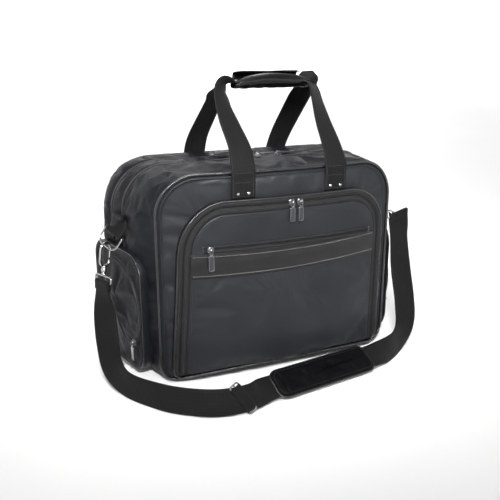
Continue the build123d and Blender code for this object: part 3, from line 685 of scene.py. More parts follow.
def hoop_frame(y):
    """Line over the bag at a depth, from foot to foot, with its directions across and out."""
    centre = body_row(y, 0.4)
    centre = centre[centre[:, 2] > 6]
    jump = np.abs(np.diff(centre[:, 0])) > 200
    split = int(np.argmax(jump)) + 1 if np.any(jump) else 0
    centre = np.vstack([centre[split:], centre[:split]])
    across = (0, 1, 0)
    normal = np.cross(unit(np.gradient(centre, axis=0)), across)
    return centre, across, normal * np.sign(normal[len(normal) // 2, 2])


for label, depth in (("main_zip", MAIN_ZIP_Y), ("rear_zip", REAR_ZIP_Y)):
    zip_line(label, *hoop_frame(depth))

BOTTOM_STEPS = ((0, 3.2), (2, 1.2), (4, 0.5), (8, 0.4), (16, 0.7), (30, 0.9), (50, 1.0), (65, 1.0), (78, 1.0))
flats, rows = [], []
for inset, z in BOTTOM_STEPS:
    radius = max(14 - inset, 1)
    flats.append(rounded(182 - inset, -62 + inset, 94 - inset, radius, radius))
    rows.append(np.column_stack([flats[-1], np.full(len(flats[-1]), z)]))
bottom = grid("bottom_panel_cloth", np.array(rows), uv=np.array(flats))
dress(bottom, NYLON, replaces="bottom_panel")


# ---- organiser front ----------------------------------------------------------------
def organiser_outline(inset):
    return rounded(176 - inset, 6 + min(inset, 4), 281 - inset, 68 - inset, 18 - min(inset, 8), 3, FINE)


def slant(flat):
    """Sideways shift of the organiser's left side: out at its foot, in at its top corner."""
    shift = np.interp(flat[:, 1], (6, 60, 130, 200, 240, 281), (-11, -8, -3, 1, 6, 9))
    return np.column_stack([shift * np.clip((-40 - flat[:, 0]) / 110, 0, 1), 0 * shift])


def on_organiser(flat, out):
    return on_bow(flat + slant(flat), out)


walls = [(0.4, 0.6), (0.0, 3), (-0.3, 5.5), (0.1, 8), (1.0, 9.2)]
rows = [on_organiser(organiser_outline(i), o) for i, o in walls]
wall = grid("organiser_gusset_cloth", np.array(rows))
dress(wall, SHADED_GUSSET, replaces="organiser_gusset")
bead("organiser_seam", organiser_outline(1.0), 9.6, 1.7, on_organiser)

zip_open = organiser_outline(0)[:, 1] > 8.5
zip_from = int(np.argmax(zip_open))
zip_to = len(zip_open) - int(np.argmax(zip_open[::-1]))


def organiser_line(inset, out):
    return on_organiser(organiser_outline(inset)[zip_from:zip_to], out)


def band_strip(name, section):
    """Strip of the organiser's band through (inset, out) pairs, open at the foot."""
    return grid(name, np.array([organiser_line(i, o) for i, o in section]).transpose(1, 0, 2))


tape = band_strip(
    "organiser_tape_outer",
    [(1.0, 8.6), (1.2, 9.9), (3.0, 10.5), (6.2, 10.4), (7.7, 10.0), (9.1, 9.6), (9.1, 8.6)],
)
dress(tape, TAPE, replaces="organiser_zip_outer")
tape = band_strip(
    "organiser_tape_inner",
    [(9.9, 8.6), (9.9, 9.6), (11.3, 10.0), (12.8, 10.4), (16.6, 10.5), (19.6, 10.3), (20.4, 8.8)],
)
dress(tape, TAPE, "organiser_flap", replaces="organiser_zip_inner")
centre = organiser_line(9.5, 10.1)
across = unit(organiser_line(10.5, 10.1) - organiser_line(8.5, 10.1))
dress(coil("organiser_coil", centre, across, bow_normal(centre)), COIL)
for label, inset, body in (("outer", 4.6, "bag"), ("inner", 14.6, "organiser_flap")):
    row = organiser_line(inset, 10.5)
    sew("organiser_stitch_" + label, row, bow_normal(row), body, TAPE, *ZIP_THREAD)

FLAP = (157, 11, 262, 50, 10, 3)  # half width, foot, top, upper and lower radius, middle


def flap_outline(inset):
    half, foot, top, upper, lower, middle = FLAP
    lower = max(lower - inset, 0.5)
    return rounded(half - inset, foot + inset, top - inset, upper - inset, lower, middle, FINE)


def flap_height(inset, flat):
    """Height of the flap: its stitched edge, the swell of its lower half and a dip along the slash zip."""
    edge = float(np.interp(inset, (0, 0.6, 1.6, 3, 4.4, 5.4, 7), (8.4, 10.4, 11.6, 12.0, 11.5, 11.7, 11.8)))
    z = flat[:, 1]
    swell = 1.6 * min(1.0, inset / 26) * np.clip((165 - z) / 60, 0, 1) * np.clip((z - 14) / 50, 0, 1)
    return edge + swell - 0.7 * np.exp(-(((z - 211) / 6) ** 2)) * min(1.0, inset / 6)


flap = panel(
    "organiser_flap_cloth",
    flap_outline,
    (0, 0.6, 1.6, 3, 4.4, 5.4, 7, 9, 12, 15, 18, *range(22, 124, 4), 125.5),
    flap_height,
    on_organiser,
)
co = points_of(flap)
flat = co[:, [0, 2]]
gap = inset_in(flat - slant(flat), *FLAP)
low_part = np.clip((160 - co[:, 2]) / 40, 0, 1)
co[:, 1] -= ruffle(co * (1, 1, 0.45), 46, 1.1, 12.0) * np.clip((gap - 6) / 18, 0, 1) * low_part
top_part = np.clip((co[:, 2] - 221) / 9, 0, 1) * np.clip((gap - 6) / 9, 0, 1)
co[:, 1] -= (0.5 + ruffle(co * (1, 1, 0.3), 30, 1.5, 4.0)) * top_part
move_points(flap, co)
settle(flap, ((gap < 7) | (co[:, 2] > 162)).astype(float), grow=0.006, pressure=0.35, cap=5)
dress(flap, NYLON, "organiser_flap", replaces=("organiser_panel", "slash_lining"))
row = on_organiser(flap_outline(4.4), 11.8)
sew("organiser_flap_stitch", row, bow_normal(row), "organiser_flap", NYLON, 3.4, 2.3, 0.3)


def across_bow(x, z, out):
    """Line across the bowed front through rows of x and z."""
    return on_bow(np.column_stack([x, z]), out)


centre = across_bow(np.linspace(-135, 148, 120), np.linspace(211.5, 210.5, 120), 12.3)
zip_line("slash_zip", centre, (0, 0, 1), bow_normal(centre), "organiser_flap")
for label, x in (("left", -135.5), ("right", 148.5)):
    n = bow_normal(np.array([[x, 0, 0]]))[0]
    bar = across_bow([x], [211], 13.1)[0] + np.outer(np.linspace(-5.5, 5.5, 9), (0, 0, 1))
    tack = sweep("slash_bar_tack_" + label, bar, np.cross(n, (0, 0, 1)), n, circle(1.1, 8))
    dress(tack, THREAD, "organiser_flap")

BAND_LINE = 90


def band_edge(top):
    """Height of the trim band's edge along its length: it sags a little in its middle."""
    t = np.linspace(-1, 1, BAND_LINE)
    return (206.5 - 4 * (1 - t * t) + 1.5 * t) if top else (171 - 4 * (1 - t * t) + 2.5 * t)


BAND_SECTION = (
    (0, 11.4), (0, 12.4), (0.03, 13.0), (0.08, 12.9), (0.12, 12.7), (0.2, 13.2), (0.35, 13.7), (0.5, 13.9),
    (0.65, 13.7), (0.8, 13.2), (0.88, 12.7), (0.92, 12.9), (0.97, 13.0), (1.0, 12.4), (1.0, 11.4),
)
xs = np.linspace(3 - 156.5, 3 + 156.5, BAND_LINE)
low_edge, high_edge = band_edge(False), band_edge(True)
rows = []
for share, out in BAND_SECTION:
    crease = 0.35 * np.sin(xs / 9.0) * np.sin(xs / 23.0 + 4 * share) * sin(pi * share)
    rows.append(across_bow(xs, low_edge + (high_edge - low_edge) * share, out + crease))
band = grid("trim_band_leather", np.array(rows))
dress(band, TRIM, "organiser_flap", replaces="trim_band")
for label, edge, shift in (("low", low_edge, 3.6), ("high", high_edge, -3.6)):
    row = across_bow(xs, edge + shift, 12.95)
    out = bow_normal(row)
    sew("trim_band_stitch_" + label, row, out, "organiser_flap", TRIM, 4.2, 3.0, 0.34, LIGHT_THREAD)


# ---- side pockets -------------------------------------------------------------------
ARC_Z = 104
ARC_R = 74
SIDES = (("left", -1), ("right", 1))
POCKET = (79.5, 9, 197, 33, 33)  # half width, foot, top, upper and lower radius
POCKET_WALL = ((0, -17), (0, -2), (0.2, 5), (0.8, 11.8), (2.4, 12.7), (6, 12.9))
POCKET_FACE = (10, 14, 18, 22, *range(27, 78, 5), 79.5)
SWELL = ((6, 12, 20, 40, 80), (12.9, 12.9, 13.0, 14.2, 15.5))
POCKET_STEPS = (*POCKET_WALL, *((inset, float(np.interp(inset, *SWELL))) for inset in POCKET_FACE))


def pocket_outline(inset):
    half, foot, top, upper, lower = POCKET
    return rounded(half - inset, foot + inset, top - inset, upper - inset, lower - inset)


for label, side in SIDES:

    def place(flat, out, side=side):
        return on_side(side, flat, out)

    flats = [pocket_outline(inset) for inset, _ in POCKET_STEPS]
    rows = [place(flat, out) for flat, (_, out) in zip(flats, POCKET_STEPS)]
    pocket = grid(f"side_pocket_{label}_cloth", np.array(rows), uv=np.array(flats))
    if side < 0:
        pocket.data.flip_normals()
    weld(pocket)
    foot, outward, forward = side_axes(side)
    co = points_of(pocket)
    flat = np.column_stack([(co - foot) @ forward, co[:, 2]])
    depth = (co - foot) @ outward
    gap = inset_in(flat, *POCKET)
    on_arc = np.abs(np.hypot(flat[:, 0], flat[:, 1] - ARC_Z) - ARC_R) < 9
    co += np.outer(ruffle(co, 30, 2.6, 20.0 + side) * np.clip((gap - 10) / 14, 0, 1), outward)
    move_points(pocket, co)
    sewn = (gap < 7) | (depth < 9) | (on_arc & (side * flat[:, 0] < 20))
    settle(pocket, sewn.astype(float), grow=0.02, pressure=0.35, cap=6)
    dress(pocket, SHADED_GUSSET, replaces=f"side_pocket_{label}")
    bead(f"side_pocket_{label}_seam", pocket_outline(0.6), 11.4, 1.2, place)
    turn = np.radians(np.linspace(80, 220, 90))
    away = np.column_stack([side * np.cos(turn), np.sin(turn)])
    arc = ARC_R * away + (0, ARC_Z)
    centre = place(arc, 13.9)
    across = unit(place(arc + away, 13.9) - centre)
    zip_line(f"side_zip_{label}", centre, across, outward)


# ---- zip sliders and pulls ----------------------------------------------------------
def plane_of(origin, x_axis, z_axis):
    """Small part's own frame: its origin and its three directions as rows."""
    z = unit(z_axis)
    x = unit(np.asarray(x_axis) - z * np.dot(x_axis, z))
    return np.asarray(origin, float), np.array([x, np.cross(z, x), z])


def slab(name, frame_of, middle, width, length, thick, corner, bevel=0.35):
    """Plate with round corners and softened edges, lying in its own x-y plane."""
    origin, axes = frame_of
    long, wide, high = length / 2, width / 2, thick / 2
    rows = []
    for inset, z in ((bevel, -high), (0, -high + bevel), (0, high - bevel), (bevel, high)):
        flat = rounded(long - inset, -wide + inset, wide - inset, corner, corner, fine=0.5)[:-1]
        rows.append(np.column_stack([flat, np.full(len(flat), z)]))
    return grid(name, (np.array(rows) + middle) @ axes + origin, ring=True, caps=True)


def tube_in(name, frame_of, points, radius, step):
    """Round wire through a few points of its own plane."""
    origin, axes = frame_of
    line = smooth_line(np.asarray(points, float) @ axes + origin, step)
    run = unit(np.gradient(line, axis=0))
    side = unit(np.cross(run, unit(axes[2] + 0.01 * axes[0])))
    return sweep(name, line, side, np.cross(run, side), circle(radius))


def ring_points(length, width, corner, middle=(0, 0, 0)):
    """Closed round-cornered loop in its own x-y plane."""
    flat = rounded(length / 2, -width / 2, width / 2, corner, corner, fine=0.6)
    return np.column_stack([flat, np.zeros(len(flat))]) + middle


def loop_in(name, frame_of, points, radius, n=10):
    """Closed round wire through points that already lie close together."""
    origin, axes = frame_of
    line = np.asarray(points, float) @ axes + origin
    run = np.gradient(line, axis=0)
    run[0] = run[-1] = line[1] - line[-2]
    return sweep(name, line, np.cross(unit(run), axes[2]), axes[2], circle(radius, n), caps=False)


BRIDGE = [(-4.0, 0, 2.2), (-3.4, 0, 5.0), (-1.4, 0, 6.9), (1.4, 0, 6.9), (3.4, 0, 5.0), (4.0, 0, 2.2)]


def make_slider(name, frame_of):
    parts = [
        slab(name + "_a", frame_of, (0, 0, 2.0), 8.6, 10, 1.2, 3.2),
        slab(name + "_b", frame_of, (0, 0, 0.7), 9.4, 9.4, 1.1, 3.0),
        tube_in(name + "_c", frame_of, BRIDGE, 0.85, step=0.4),
    ]
    dress(joined(name + "_metal", parts), GUNMETAL, name, replaces=name)


def make_pull(name, frame_of, length, framed):
    """Pull: a small ring on the slider's bridge, a neck and a plate, framed round a dark infill if asked."""
    pivot = np.array([0, 0, 5.2])
    ring = ring_points(8.0, 4.8, 2.2, pivot + (1.9, 0, 0))
    middle = pivot + (7 + length / 2, 0, 0)
    if framed:
        plate = [
            loop_in(name + "_b", frame_of, ring_points(length - 1.4, 7.0, 1.6, middle), 0.85),
            slab(name + "_c", frame_of, pivot + (7.0, 0, 0), 3.6, 3.4, 1.3, 0.6),
        ]
        infill = slab(name + "_infill", frame_of, middle, 5.8, length - 2.6, 0.9, 1.0, 0.2)
        dress(infill, INFILL, name)
    else:
        plate = [
            slab(name + "_b", frame_of, middle, 8.2, length, 1.5, 1.8, 0.45),
            slab(name + "_c", frame_of, pivot + (6.8, 0, 0), 3.4, 3.4, 1.3, 0.6),
        ]
    metal = joined(name + "_metal", [loop_in(name + "_a", frame_of, ring, 0.75), *plate])
    dress(metal, GUNMETAL if framed else NICKEL, name, name)


def bow_frame(x, z, out):
    a = x / (BOW_RADIUS + out)
    origin = (BOW_RADIUS + out) * sin(a), BOW_Y - (BOW_RADIUS + out) * cos(a), z
    return plane_of(origin, (0, 0, -1), (sin(a), -cos(a), 0))


def side_frame(side):
    turn = radians(218)
    spot = on_side(side, np.array([[side * ARC_R * cos(turn), ARC_Z + ARC_R * sin(turn)]]), 15)[0]
    return plane_of(spot, (0, 0, -1), side_axes(side)[1])


def top_frame(x, y):
    return plane_of((x, y, BODY_HEIGHT + 1), (1, 0, 0), (0, 0, 1))


# Each slider's plane, the length of its pull and whether the pull is framed.
SLIDERS = {
    "main_left": (top_frame(4, MAIN_ZIP_Y), 22, True),
    "main_right": (top_frame(40, MAIN_ZIP_Y), 22, True),
    "rear": (top_frame(-62, REAR_ZIP_Y), 22, True),
    "organiser_left": (bow_frame(3, 271.5, 11), 22, True),
    "organiser_right": (bow_frame(17, 271.5, 11), 22, True),
    "slash": (bow_frame(-125, 211, 13.6), 24, True),
    "side_left": (side_frame(-1), 22, False),
    "side_right": (side_frame(1), 22, False),
}
for label, (frame_of, length, framed) in SLIDERS.items():
    make_slider(label + "_slider", frame_of)
    make_pull(label + "_pull", frame_of, length, framed)


# ---- handle -------------------------------------------------------------------------
LEFT_X = -71
RIGHT_X = 83


def upright(x, y):
    return [((x, y, z), (1, 0, 0)) for z in (281.5, 297.5, 310, 323)]


# Each leg's stations from its foot to the grip: a point and the direction of the webbing's width.
LEGS = {
    "front_leg_left": [
        *upright(LEFT_X, -101.6),
        ((-70, -88, 352), (1, 0.05, -0.15)),
        ((-75, -62, 386), (1, 0.15, -0.3)),
        ((-76, -38, 414), (0.9, 0.35, -0.45)),
        ((-70, -22, 431), (0.75, 0.55, -0.4)),
        ((-59, -12, 440), (0.4, 0.9, -0.1)),
        ((-43, -8, 441), (0, 1, 0)),
    ],
    "front_leg_right": [
        *upright(RIGHT_X, -101.6),
        ((82, -88, 350), (0.97, 0.2, 0)),
        ((81, -64, 382), (0.9, 0.4, 0)),
        ((82, -43, 411), (0.8, 0.6, 0)),
        ((84, -25, 432), (0.65, 0.75, 0.1)),
        ((80, -13, 441), (0.35, 0.9, 0.2)),
        ((70, -9, 441), (0, 1, 0)),
    ],
    "back_leg_left": [
        *upright(LEFT_X - 2, 102.7),
        ((-71, 90, 350), (1, 0, 0.2)),
        ((-63, 66, 385), (1, 0, 0.3)),
        ((-59, 38, 415), (1, 0, 0.4)),
        ((-65, 14, 433), (0.85, 0.1, 0.5)),
        ((-60, 1, 442), (0.35, 0.9, 0.2)),
        ((-43, -8, 443), (0, 1, 0)),
    ],
    "back_leg_right": [
        *upright(RIGHT_X - 2, 102.7),
        ((85, 90, 350), (1, 0, -0.2)),
        ((91, 66, 385), (1, 0, -0.3)),
        ((95, 42, 415), (1, 0, -0.3)),
        ((94, 18, 434), (0.9, 0.3, -0.2)),
        ((86, 1, 441), (0.4, 0.9, 0)),
        ((70, -8, 443), (0, 1, 0)),
    ],
}
STRAP_WIDE = 38


def strap(name, stations, width=STRAP_WIDE, thick=2.0, step=3.0, tuck=0):
    """Flat woven strap with rounded selvedges through stations of centre point and width direction.

    Over its last stretch, tuck long, it is gathered to two thirds of its width."""
    dense = smooth_line([p for p, _ in stations], step, [[unit(w) for _, w in stations]])
    line = dense[:, :3]
    _, across, normal = frames(line, dense[:, 3:])
    left = along(line)[-1] - along(line)
    narrow = 0.66 + 0.34 * np.clip(left / tuck, 0, 1) if tuck else np.ones(len(line))
    piece = sweep(name, line, across * narrow[:, None], normal, flat_profile(width, thick))
    return piece, line, across, normal


for label, stations in LEGS.items():
    leg, line, across, normal = strap(label + "_webbing", stations, tuck=24)
    outward = -1 if label.startswith("front") else 1
    face = normal * np.sign(outward * normal[1, 1])
    dress(leg, WEBBING, replaces=label, ride=False)
    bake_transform(leg)
    s = along(line)
    low = s < 42
    for edge, shift in (("a", -15.5), ("b", 15.5)):
        row = (line + across * shift + face * 1.05)[low]
        sew(f"{label}_stitch_{edge}", row, face[low], "bag", WEBBING)
    for k, at in enumerate((3.5, 24.0, 38.0)):
        spot = at_distance(at, s, line) + face[1] * 1.05
        row = spot + np.outer(np.linspace(-15, 15, 12), across[1])
        sew(f"{label}_cross_{k}", row, face[1], "bag", WEBBING)

RIVET_Z = 289
RIVET_DOME = ((2.5, 0), (2.45, 0.4), (2.05, 0.85), (1.3, 1.2), (0.6, 1.32), (0.02, 1.35))


def rivet(x, y, out):
    """Round head of a rivet; out is the side that it faces, -1 to the front and 1 to the back."""
    rows = []
    for radius, height in RIVET_DOME:
        wide, up = circle(radius, 24).T
        rows.append(np.column_stack([x + wide, np.full(24, y + out * height), RIVET_Z + up]))
    return grid("rivet", np.array(rows), ring=True)


domes = [
    rivet(x + dx + shift, y, out)
    for y, out, shift in ((-102.6, -1, 0), (103.7, 1, -2))
    for x in (LEFT_X, RIGHT_X)
    for dx in (-8.5, 8.5)
]
dress(joined("handle_rivet_domes", domes), NICKEL, replaces="handle_rivets")

GRIP_X = 15
GRIP_Y = -8
GRIP_Z = 443
GRIP_HALF = 62


def grip_size(u):
    """Half depth, half height and middle height of the grip along its length, from -1 to 1."""
    end = 1 - 0.16 * abs(u) ** 10
    high = (11.6 - 4.4 * u * u + 0.5 * u) * end
    return (15.8 - 2.4 * u * u) * end, high, 431.6 + high


def grip_ring(u, t, scale=1.0):
    """Squarish section of the grip: points at the angles t."""
    deep, high, middle = grip_size(u)
    wide, up = (np.sign(v) * np.abs(v) ** 0.8 for v in (np.cos(t), np.sin(t)))
    return np.column_stack(
        [np.full(len(t), GRIP_X + u * GRIP_HALF), GRIP_Y + deep * wide * scale, middle + high * up * scale]
    )


t = np.linspace(0, 2 * pi, 48, endpoint=False)
rows = []
for u in np.linspace(-1, 1, 84):
    crease = 0.5 * np.exp(-(((np.degrees(t) - 214) / 9) ** 2)) * (1 - u * u)
    fold = 0.55 * np.sin(17 * u + 3.0 * t) * np.clip(-np.sin(t) + 0.1, 0, 1) * np.clip(0.5 - u, 0, 1)
    rows.append(grip_ring(u, t, 1 + (fold - crease * 2) / 13))
ends = []
for rim, shift in ((rows[0], -0.8), (rows[-1], 0.8)):
    middle = rim.mean(0)
    ends.append(middle + (rim - middle) * 0.86 + (shift, 0, 0))
grip = grid("handle_grip_leather", np.array([ends[0], *rows, ends[1]]), ring=True, caps=True)
co = points_of(grip)
push = unit((co - (0, GRIP_Y, GRIP_Z)) * (0, 1, 1))
co += push * ruffle(co * (0.7, 1.2, 1.2), 20, 0.8, 31.0)[:, None]
move_points(grip, co)
dress(grip, LEATHER, "handle", replaces="handle_grip")
for label, x in (("left", -GRIP_HALF + 5), ("right", GRIP_HALF - 5)):
    ring = grip_ring(x / GRIP_HALF, np.linspace(0, 2 * pi, 60))
    face = unit((ring - (0, GRIP_Y, GRIP_Z)) * (0, 1, 1))
    sew(f"handle_grip_stitch_{label}", ring + face * 0.3, face, "handle", LEATHER, 3.4, 2.4, 0.36)

LEAF_HALF = 56
LEAF_BEND = (
    (9.8, 440), (9.9, 444.5), (9.8, 449), (9, 452.8), (6.8, 455.3), (3, 456.2), (-2, 456.4), (-6, 456.3),
)
line = smooth_line([(0, y, z) for y, z in LEAF_BEND], 1.0)
normal = unit(np.column_stack([np.zeros(len(line)), -np.gradient(line[:, 2]), np.gradient(line[:, 1])]))
normal *= np.sign(normal[0, 1])
wide, thick = flat_profile(2 * LEAF_HALF, 2.2, 40).T
rows = []
for k, (point, out) in enumerate(zip(line, normal)):
    wave = 0.5 * np.sin(wide / 11.0 + k * 0.2) * k / len(line)
    rows.append(point + np.outer(wide, (1, 0, 0)) + np.outer(thick + wave, out) + (GRIP_X, 0, 0))
leaf = grid("grip_flap_leather", np.array(rows), ring=True, caps=True)
dress(leaf, LEATHER, "grip_flap", replaces="grip_flap")
for label, edge in (("left", -LEAF_HALF + 4), ("right", LEAF_HALF - 4)):
    row = line + (GRIP_X + edge, 0, 0) + normal * 1.2
    sew(f"grip_flap_stitch_{label}", row, normal, "grip_flap", LEATHER)
row = line[-4] + np.outer(np.linspace(-LEAF_HALF + 4, LEAF_HALF - 4, 60), (1, 0, 0)) + (GRIP_X, 0, 0)
sew("grip_flap_stitch_front", row + normal[-4] * 1.25, normal[-4], "grip_flap", LEATHER)


# ---- ring tabs, D-rings, snap hooks and swivels -------------------------------------
def square_to(direction, other):
    """The direction without its part along the other one."""
    axis = unit(other)
    direction = np.asarray(direction, float)
    return unit(direction - axis * direction.dot(axis))


BEND_RADIUS = 13.5


class RingPlace:
    """One D-ring, the snap hook that hangs on its bow, and the eye below it."""

    def __init__(self, bar, ring_run, hang, slide, turn, reach, eye_across):
        """bar is the middle of the ring's bar, slide and turn place the hook's contact on its bow."""
        self.bar = np.array(bar, float)
        self.run = unit(ring_run)
        self.hang = square_to(hang, self.run)
        self.ring = (self.bar, np.array([self.run, -self.hang, np.cross(self.run, -self.hang)]))
        turn = radians(turn)
        self.contact = (
            self.bar
            + self.run * (slide + BEND_RADIUS * sin(turn))
            - self.hang * (BEND_RADIUS - 24 - BEND_RADIUS * cos(turn))
        )
        self.reach = unit(reach)
        wire = self.run * cos(turn) - self.hang * sin(turn)
        normal = square_to(wire, self.reach)
        x_axis = np.cross(-self.reach, normal)
        self.hook = (self.contact, np.array([x_axis, np.cross(normal, x_axis), normal]))
        self.eye_across = across = square_to(eye_across, self.reach)
        facing = np.cross(across, -self.reach)
        self.eye = (self.contact, np.array([across, np.cross(facing, across), facing]))

    def below_eye(self, distance):
        return self.contact + self.reach * (57.9 + distance)


RINGS = {
    "left": RingPlace(
        bar=(-238, 12, 220),
        ring_run=(0.35, -0.85, -0.3),
        hang=(-0.5, -0.1, -0.87),
        slide=0,
        turn=0,
        reach=(-0.16, -0.1, -1),
        eye_across=(0.35, -0.94, 0),
    ),
    "right": RingPlace(
        bar=(241, 14, 221),
        ring_run=(-0.35, -0.85, -0.3),
        hang=(0.45, -0.1, -0.88),
        slide=8,
        turn=88,
        reach=(-0.03, -0.96, 0.26),
        eye_across=(1, 0.1, 0.25),
    ),
}


def ring_wire():
    """Centreline of the D-ring in its own plane, starting and ending in the middle of its bar."""
    flat = rounded(21.5, -24, 0, 2.2, BEND_RADIUS, fine=0.8)
    n = len(flat) // 2
    flat = np.vstack([flat[n:-1], flat[: n + 1]])
    return np.column_stack([flat, np.zeros(len(flat))])


def hook_wire():
    """Snap hook's wire: from the barrel up one side and over the top to the tip above the gate."""
    radius, low_z, high_z = 9, -22.3, -4.3
    low = [(-radius * cos(a), low_z + radius * sin(a), 0) for a in np.radians(np.linspace(-86, 0, 14))]
    side = [(-radius, z, 0) for z in np.linspace(low_z, high_z, 8)[1:]]
    over = [(-radius * cos(a), high_z + radius * sin(a), 0) for a in np.linspace(0, pi, 26)[1:]]
    tip = [(radius, -5.2, 0), (radius, -6.1, 0)]
    return np.array(low + side + over + tip)


def lathe(name, frame_of, profile):
    """Turned part round the plane's own y axis through (radius, y) pairs."""
    origin, axes = frame_of
    wide, deep = circle(1, 28).T
    rows = [np.column_stack([r * wide, np.full(28, y), r * deep]) @ axes + origin for r, y in profile]
    return grid(name, np.array(rows), ring=True, caps=True)


TAB_Z = 241
HEEL = [(0.4, -31.1, 0), (5.6, -29.2, 0), (8.4, -25.6, 0), (9.0, -21.8, 0)]
BARREL = [
    (2.0, -29.8), (3.4, -30.4), (4.1, -31.6), (4.2, -33.4), (3.7, -34.0), (3.7, -34.8), (4.2, -35.4),
    (4.2, -39.4), (3.8, -40.4), (3.1, -41.2), (1.6, -41.4),
]
COLLAR = [(1.5, -41.3), (3.2, -41.6), (3.4, -42.6), (3.4, -43.4), (2.7, -44.2), (2.2, -45.6), (1.5, -45.8)]


def hook_metal(label, place):
    """Snap hook: its bent wire, which is thickest in the middle, its heel and its barrel."""
    origin, axes = place
    path = hook_wire() @ axes + origin
    run = unit(np.gradient(path, axis=0))
    thick = np.interp(np.linspace(0, 1, len(path)), (0, 0.15, 0.5, 0.9, 1), (1.5, 1.9, 2.0, 1.9, 1.6))
    wide, out = circle(1, 12).T
    rows = [
        point + np.outer(radius * wide, np.cross(ahead, axes[2])) + np.outer(radius * out, axes[2])
        for point, ahead, radius in zip(path, run, thick)
    ]
    body = grid("hook_body", np.array(rows), ring=True, caps=True)
    heel = tube_in("hook_heel", place, HEEL, 1.75, step=0.6)
    return joined(f"snap_hook_{label}_metal", [body, heel, lathe("hook_barrel", place, BARREL)])


for label, side in SIDES:
    spot = RINGS[label]
    ring = loop_in(f"d_ring_{label}_wire", spot.ring, ring_wire(), 1.5, n=12)
    dress(ring, NICKEL, f"{label}_ring", replaces=f"d_ring_{label}")
    dress(hook_metal(label, spot.hook), NICKEL, f"{label}_ring", replaces=f"snap_hook_{label}")
    gate = [
        tube_in("gate_bar", spot.hook, [(9, -18.6, 0), (9, -14, 0), (9, -7.4, 0)], 1.45, step=0.8),
        tube_in("gate_knob", spot.hook, [(10.0, -9.8, 0), (11.6, -9.9, 0), (12.4, -10.0, 0)], 1.0, step=0.5),
    ]
    dress(joined(f"hook_gate_{label}_metal", gate), NICKEL, f"{label}_gate", replaces=f"hook_gate_{label}")
    eye = [
        lathe("swivel_collar", spot.eye, COLLAR),
        loop_in("swivel_eye", spot.eye, ring_points(43, 10, 3.6, (0, -51.4, 0)), 1.5, n=12),
    ]
    eye = joined(f"hook_swivel_{label}_metal", eye)
    dress(eye, NICKEL, f"{label}_ring", replaces=f"hook_swivel_{label}")
    foot, outward, forward = side_axes(side)
    face = foot + (0, 0, TAB_Z) + outward * 4.4
    # The webbing comes down from its seam, turns round the ring's bar and goes back up behind itself.
    away = np.cross(spot.run, spot.hang)
    away = away * np.sign(away @ outward)
    above_bar = spot.bar - spot.hang * 9
    around = [spot.hang * 2.7 * sin(a) + away * 2.7 * cos(a) for a in np.linspace(0, pi, 5)]
    stations = [
        (face + (0, 0, 7) + outward * 0.8, forward),
        (face - (0, 0, 4) + outward * 2.4, forward),
        (above_bar + away * 2.6, spot.run),
        *[(spot.bar + offset, spot.run) for offset in around],
        (above_bar - away * 1.6, spot.run),
        (face - (0, 0, 4) - outward * 0.4, forward),
        (face + (0, 0, 7) - outward * 1.6, forward),
    ]
    tab, line, across, normal = strap(f"ring_tab_{label}_webbing", stations, 37, 1.7, 1.6)
    dress(tab, WEBBING, replaces=f"ring_tab_{label}")
    row = line[3] + np.outer(np.linspace(-16, 16, 12), across[3])
    away = normal[3] * np.sign(normal[3] @ outward)
    sew(f"ring_tab_{label}_stitch", row + away * 0.95, away, "bag", WEBBING)


# ---- shoulder strap, adjuster and pad -----------------------------------------------
LEAN_BACK = (0, 0.42, 1)
PAD_LEAN = (0, 1.6, 1)
PAD_MIDDLE = np.array([31, -174, 17.5])
PAD_RUN = unit([182, 26, 0])
PAD_LENGTH = 183.85


def pad_point(at):
    return PAD_MIDDLE + PAD_RUN * at


left, right = RINGS["left"], RINGS["right"]
EYE_BAR = -1.5  # the middle of the eye's bar, measured as below_eye() does
# The direction in which the right strap leaves its eye.
RIGHT_FALL = unit((232, -72, 180) - right.below_eye(EYE_BAR))
STRAP_LEFT = [
    (left.below_eye(3), left.eye_across),
    (left.below_eye(14), left.eye_across),
    ((-264, -4, 98), (0.7, -0.7, 0)),
    ((-267, -30, 62), (0.75, -0.65, 0.1)),
    ((-268, -62, 34), (0.6, -0.5, 0.45)),
    ((-256, -100, 20.5), (0.3, -0.1, 1)),
    ((-224, -150, 19.6), LEAN_BACK),
    ((-190, -182, 19.6), LEAN_BACK),
    ((-150, -203, 19.6), LEAN_BACK),
    ((-106, -206, 20), LEAN_BACK),
    (pad_point(-PAD_LENGTH / 2 - 4), PAD_LEAN),
    (pad_point(-2), PAD_LEAN),
]
STRAP_RIGHT = [
    (pad_point(2), PAD_LEAN),
    (pad_point(PAD_LENGTH / 2 + 4), PAD_LEAN),
    ((168, -150, 19), (-0.1, 0.4, 1)),
    ((200, -132, 23), (-0.2, 0.3, 1)),
    ((226, -112, 42), (-0.7, 0.3, 0.6)),
    ((233, -98, 76), (-0.95, 0.15, 0.1)),
    ((231, -84, 130), (-0.95, 0.1, 0)),
    ((232, -72, 180), (-0.95, -0.1, -0.1)),
    *[(right.below_eye(EYE_BAR) + d * RIGHT_FALL, -right.eye_across) for d in (15, 4.5)],
]


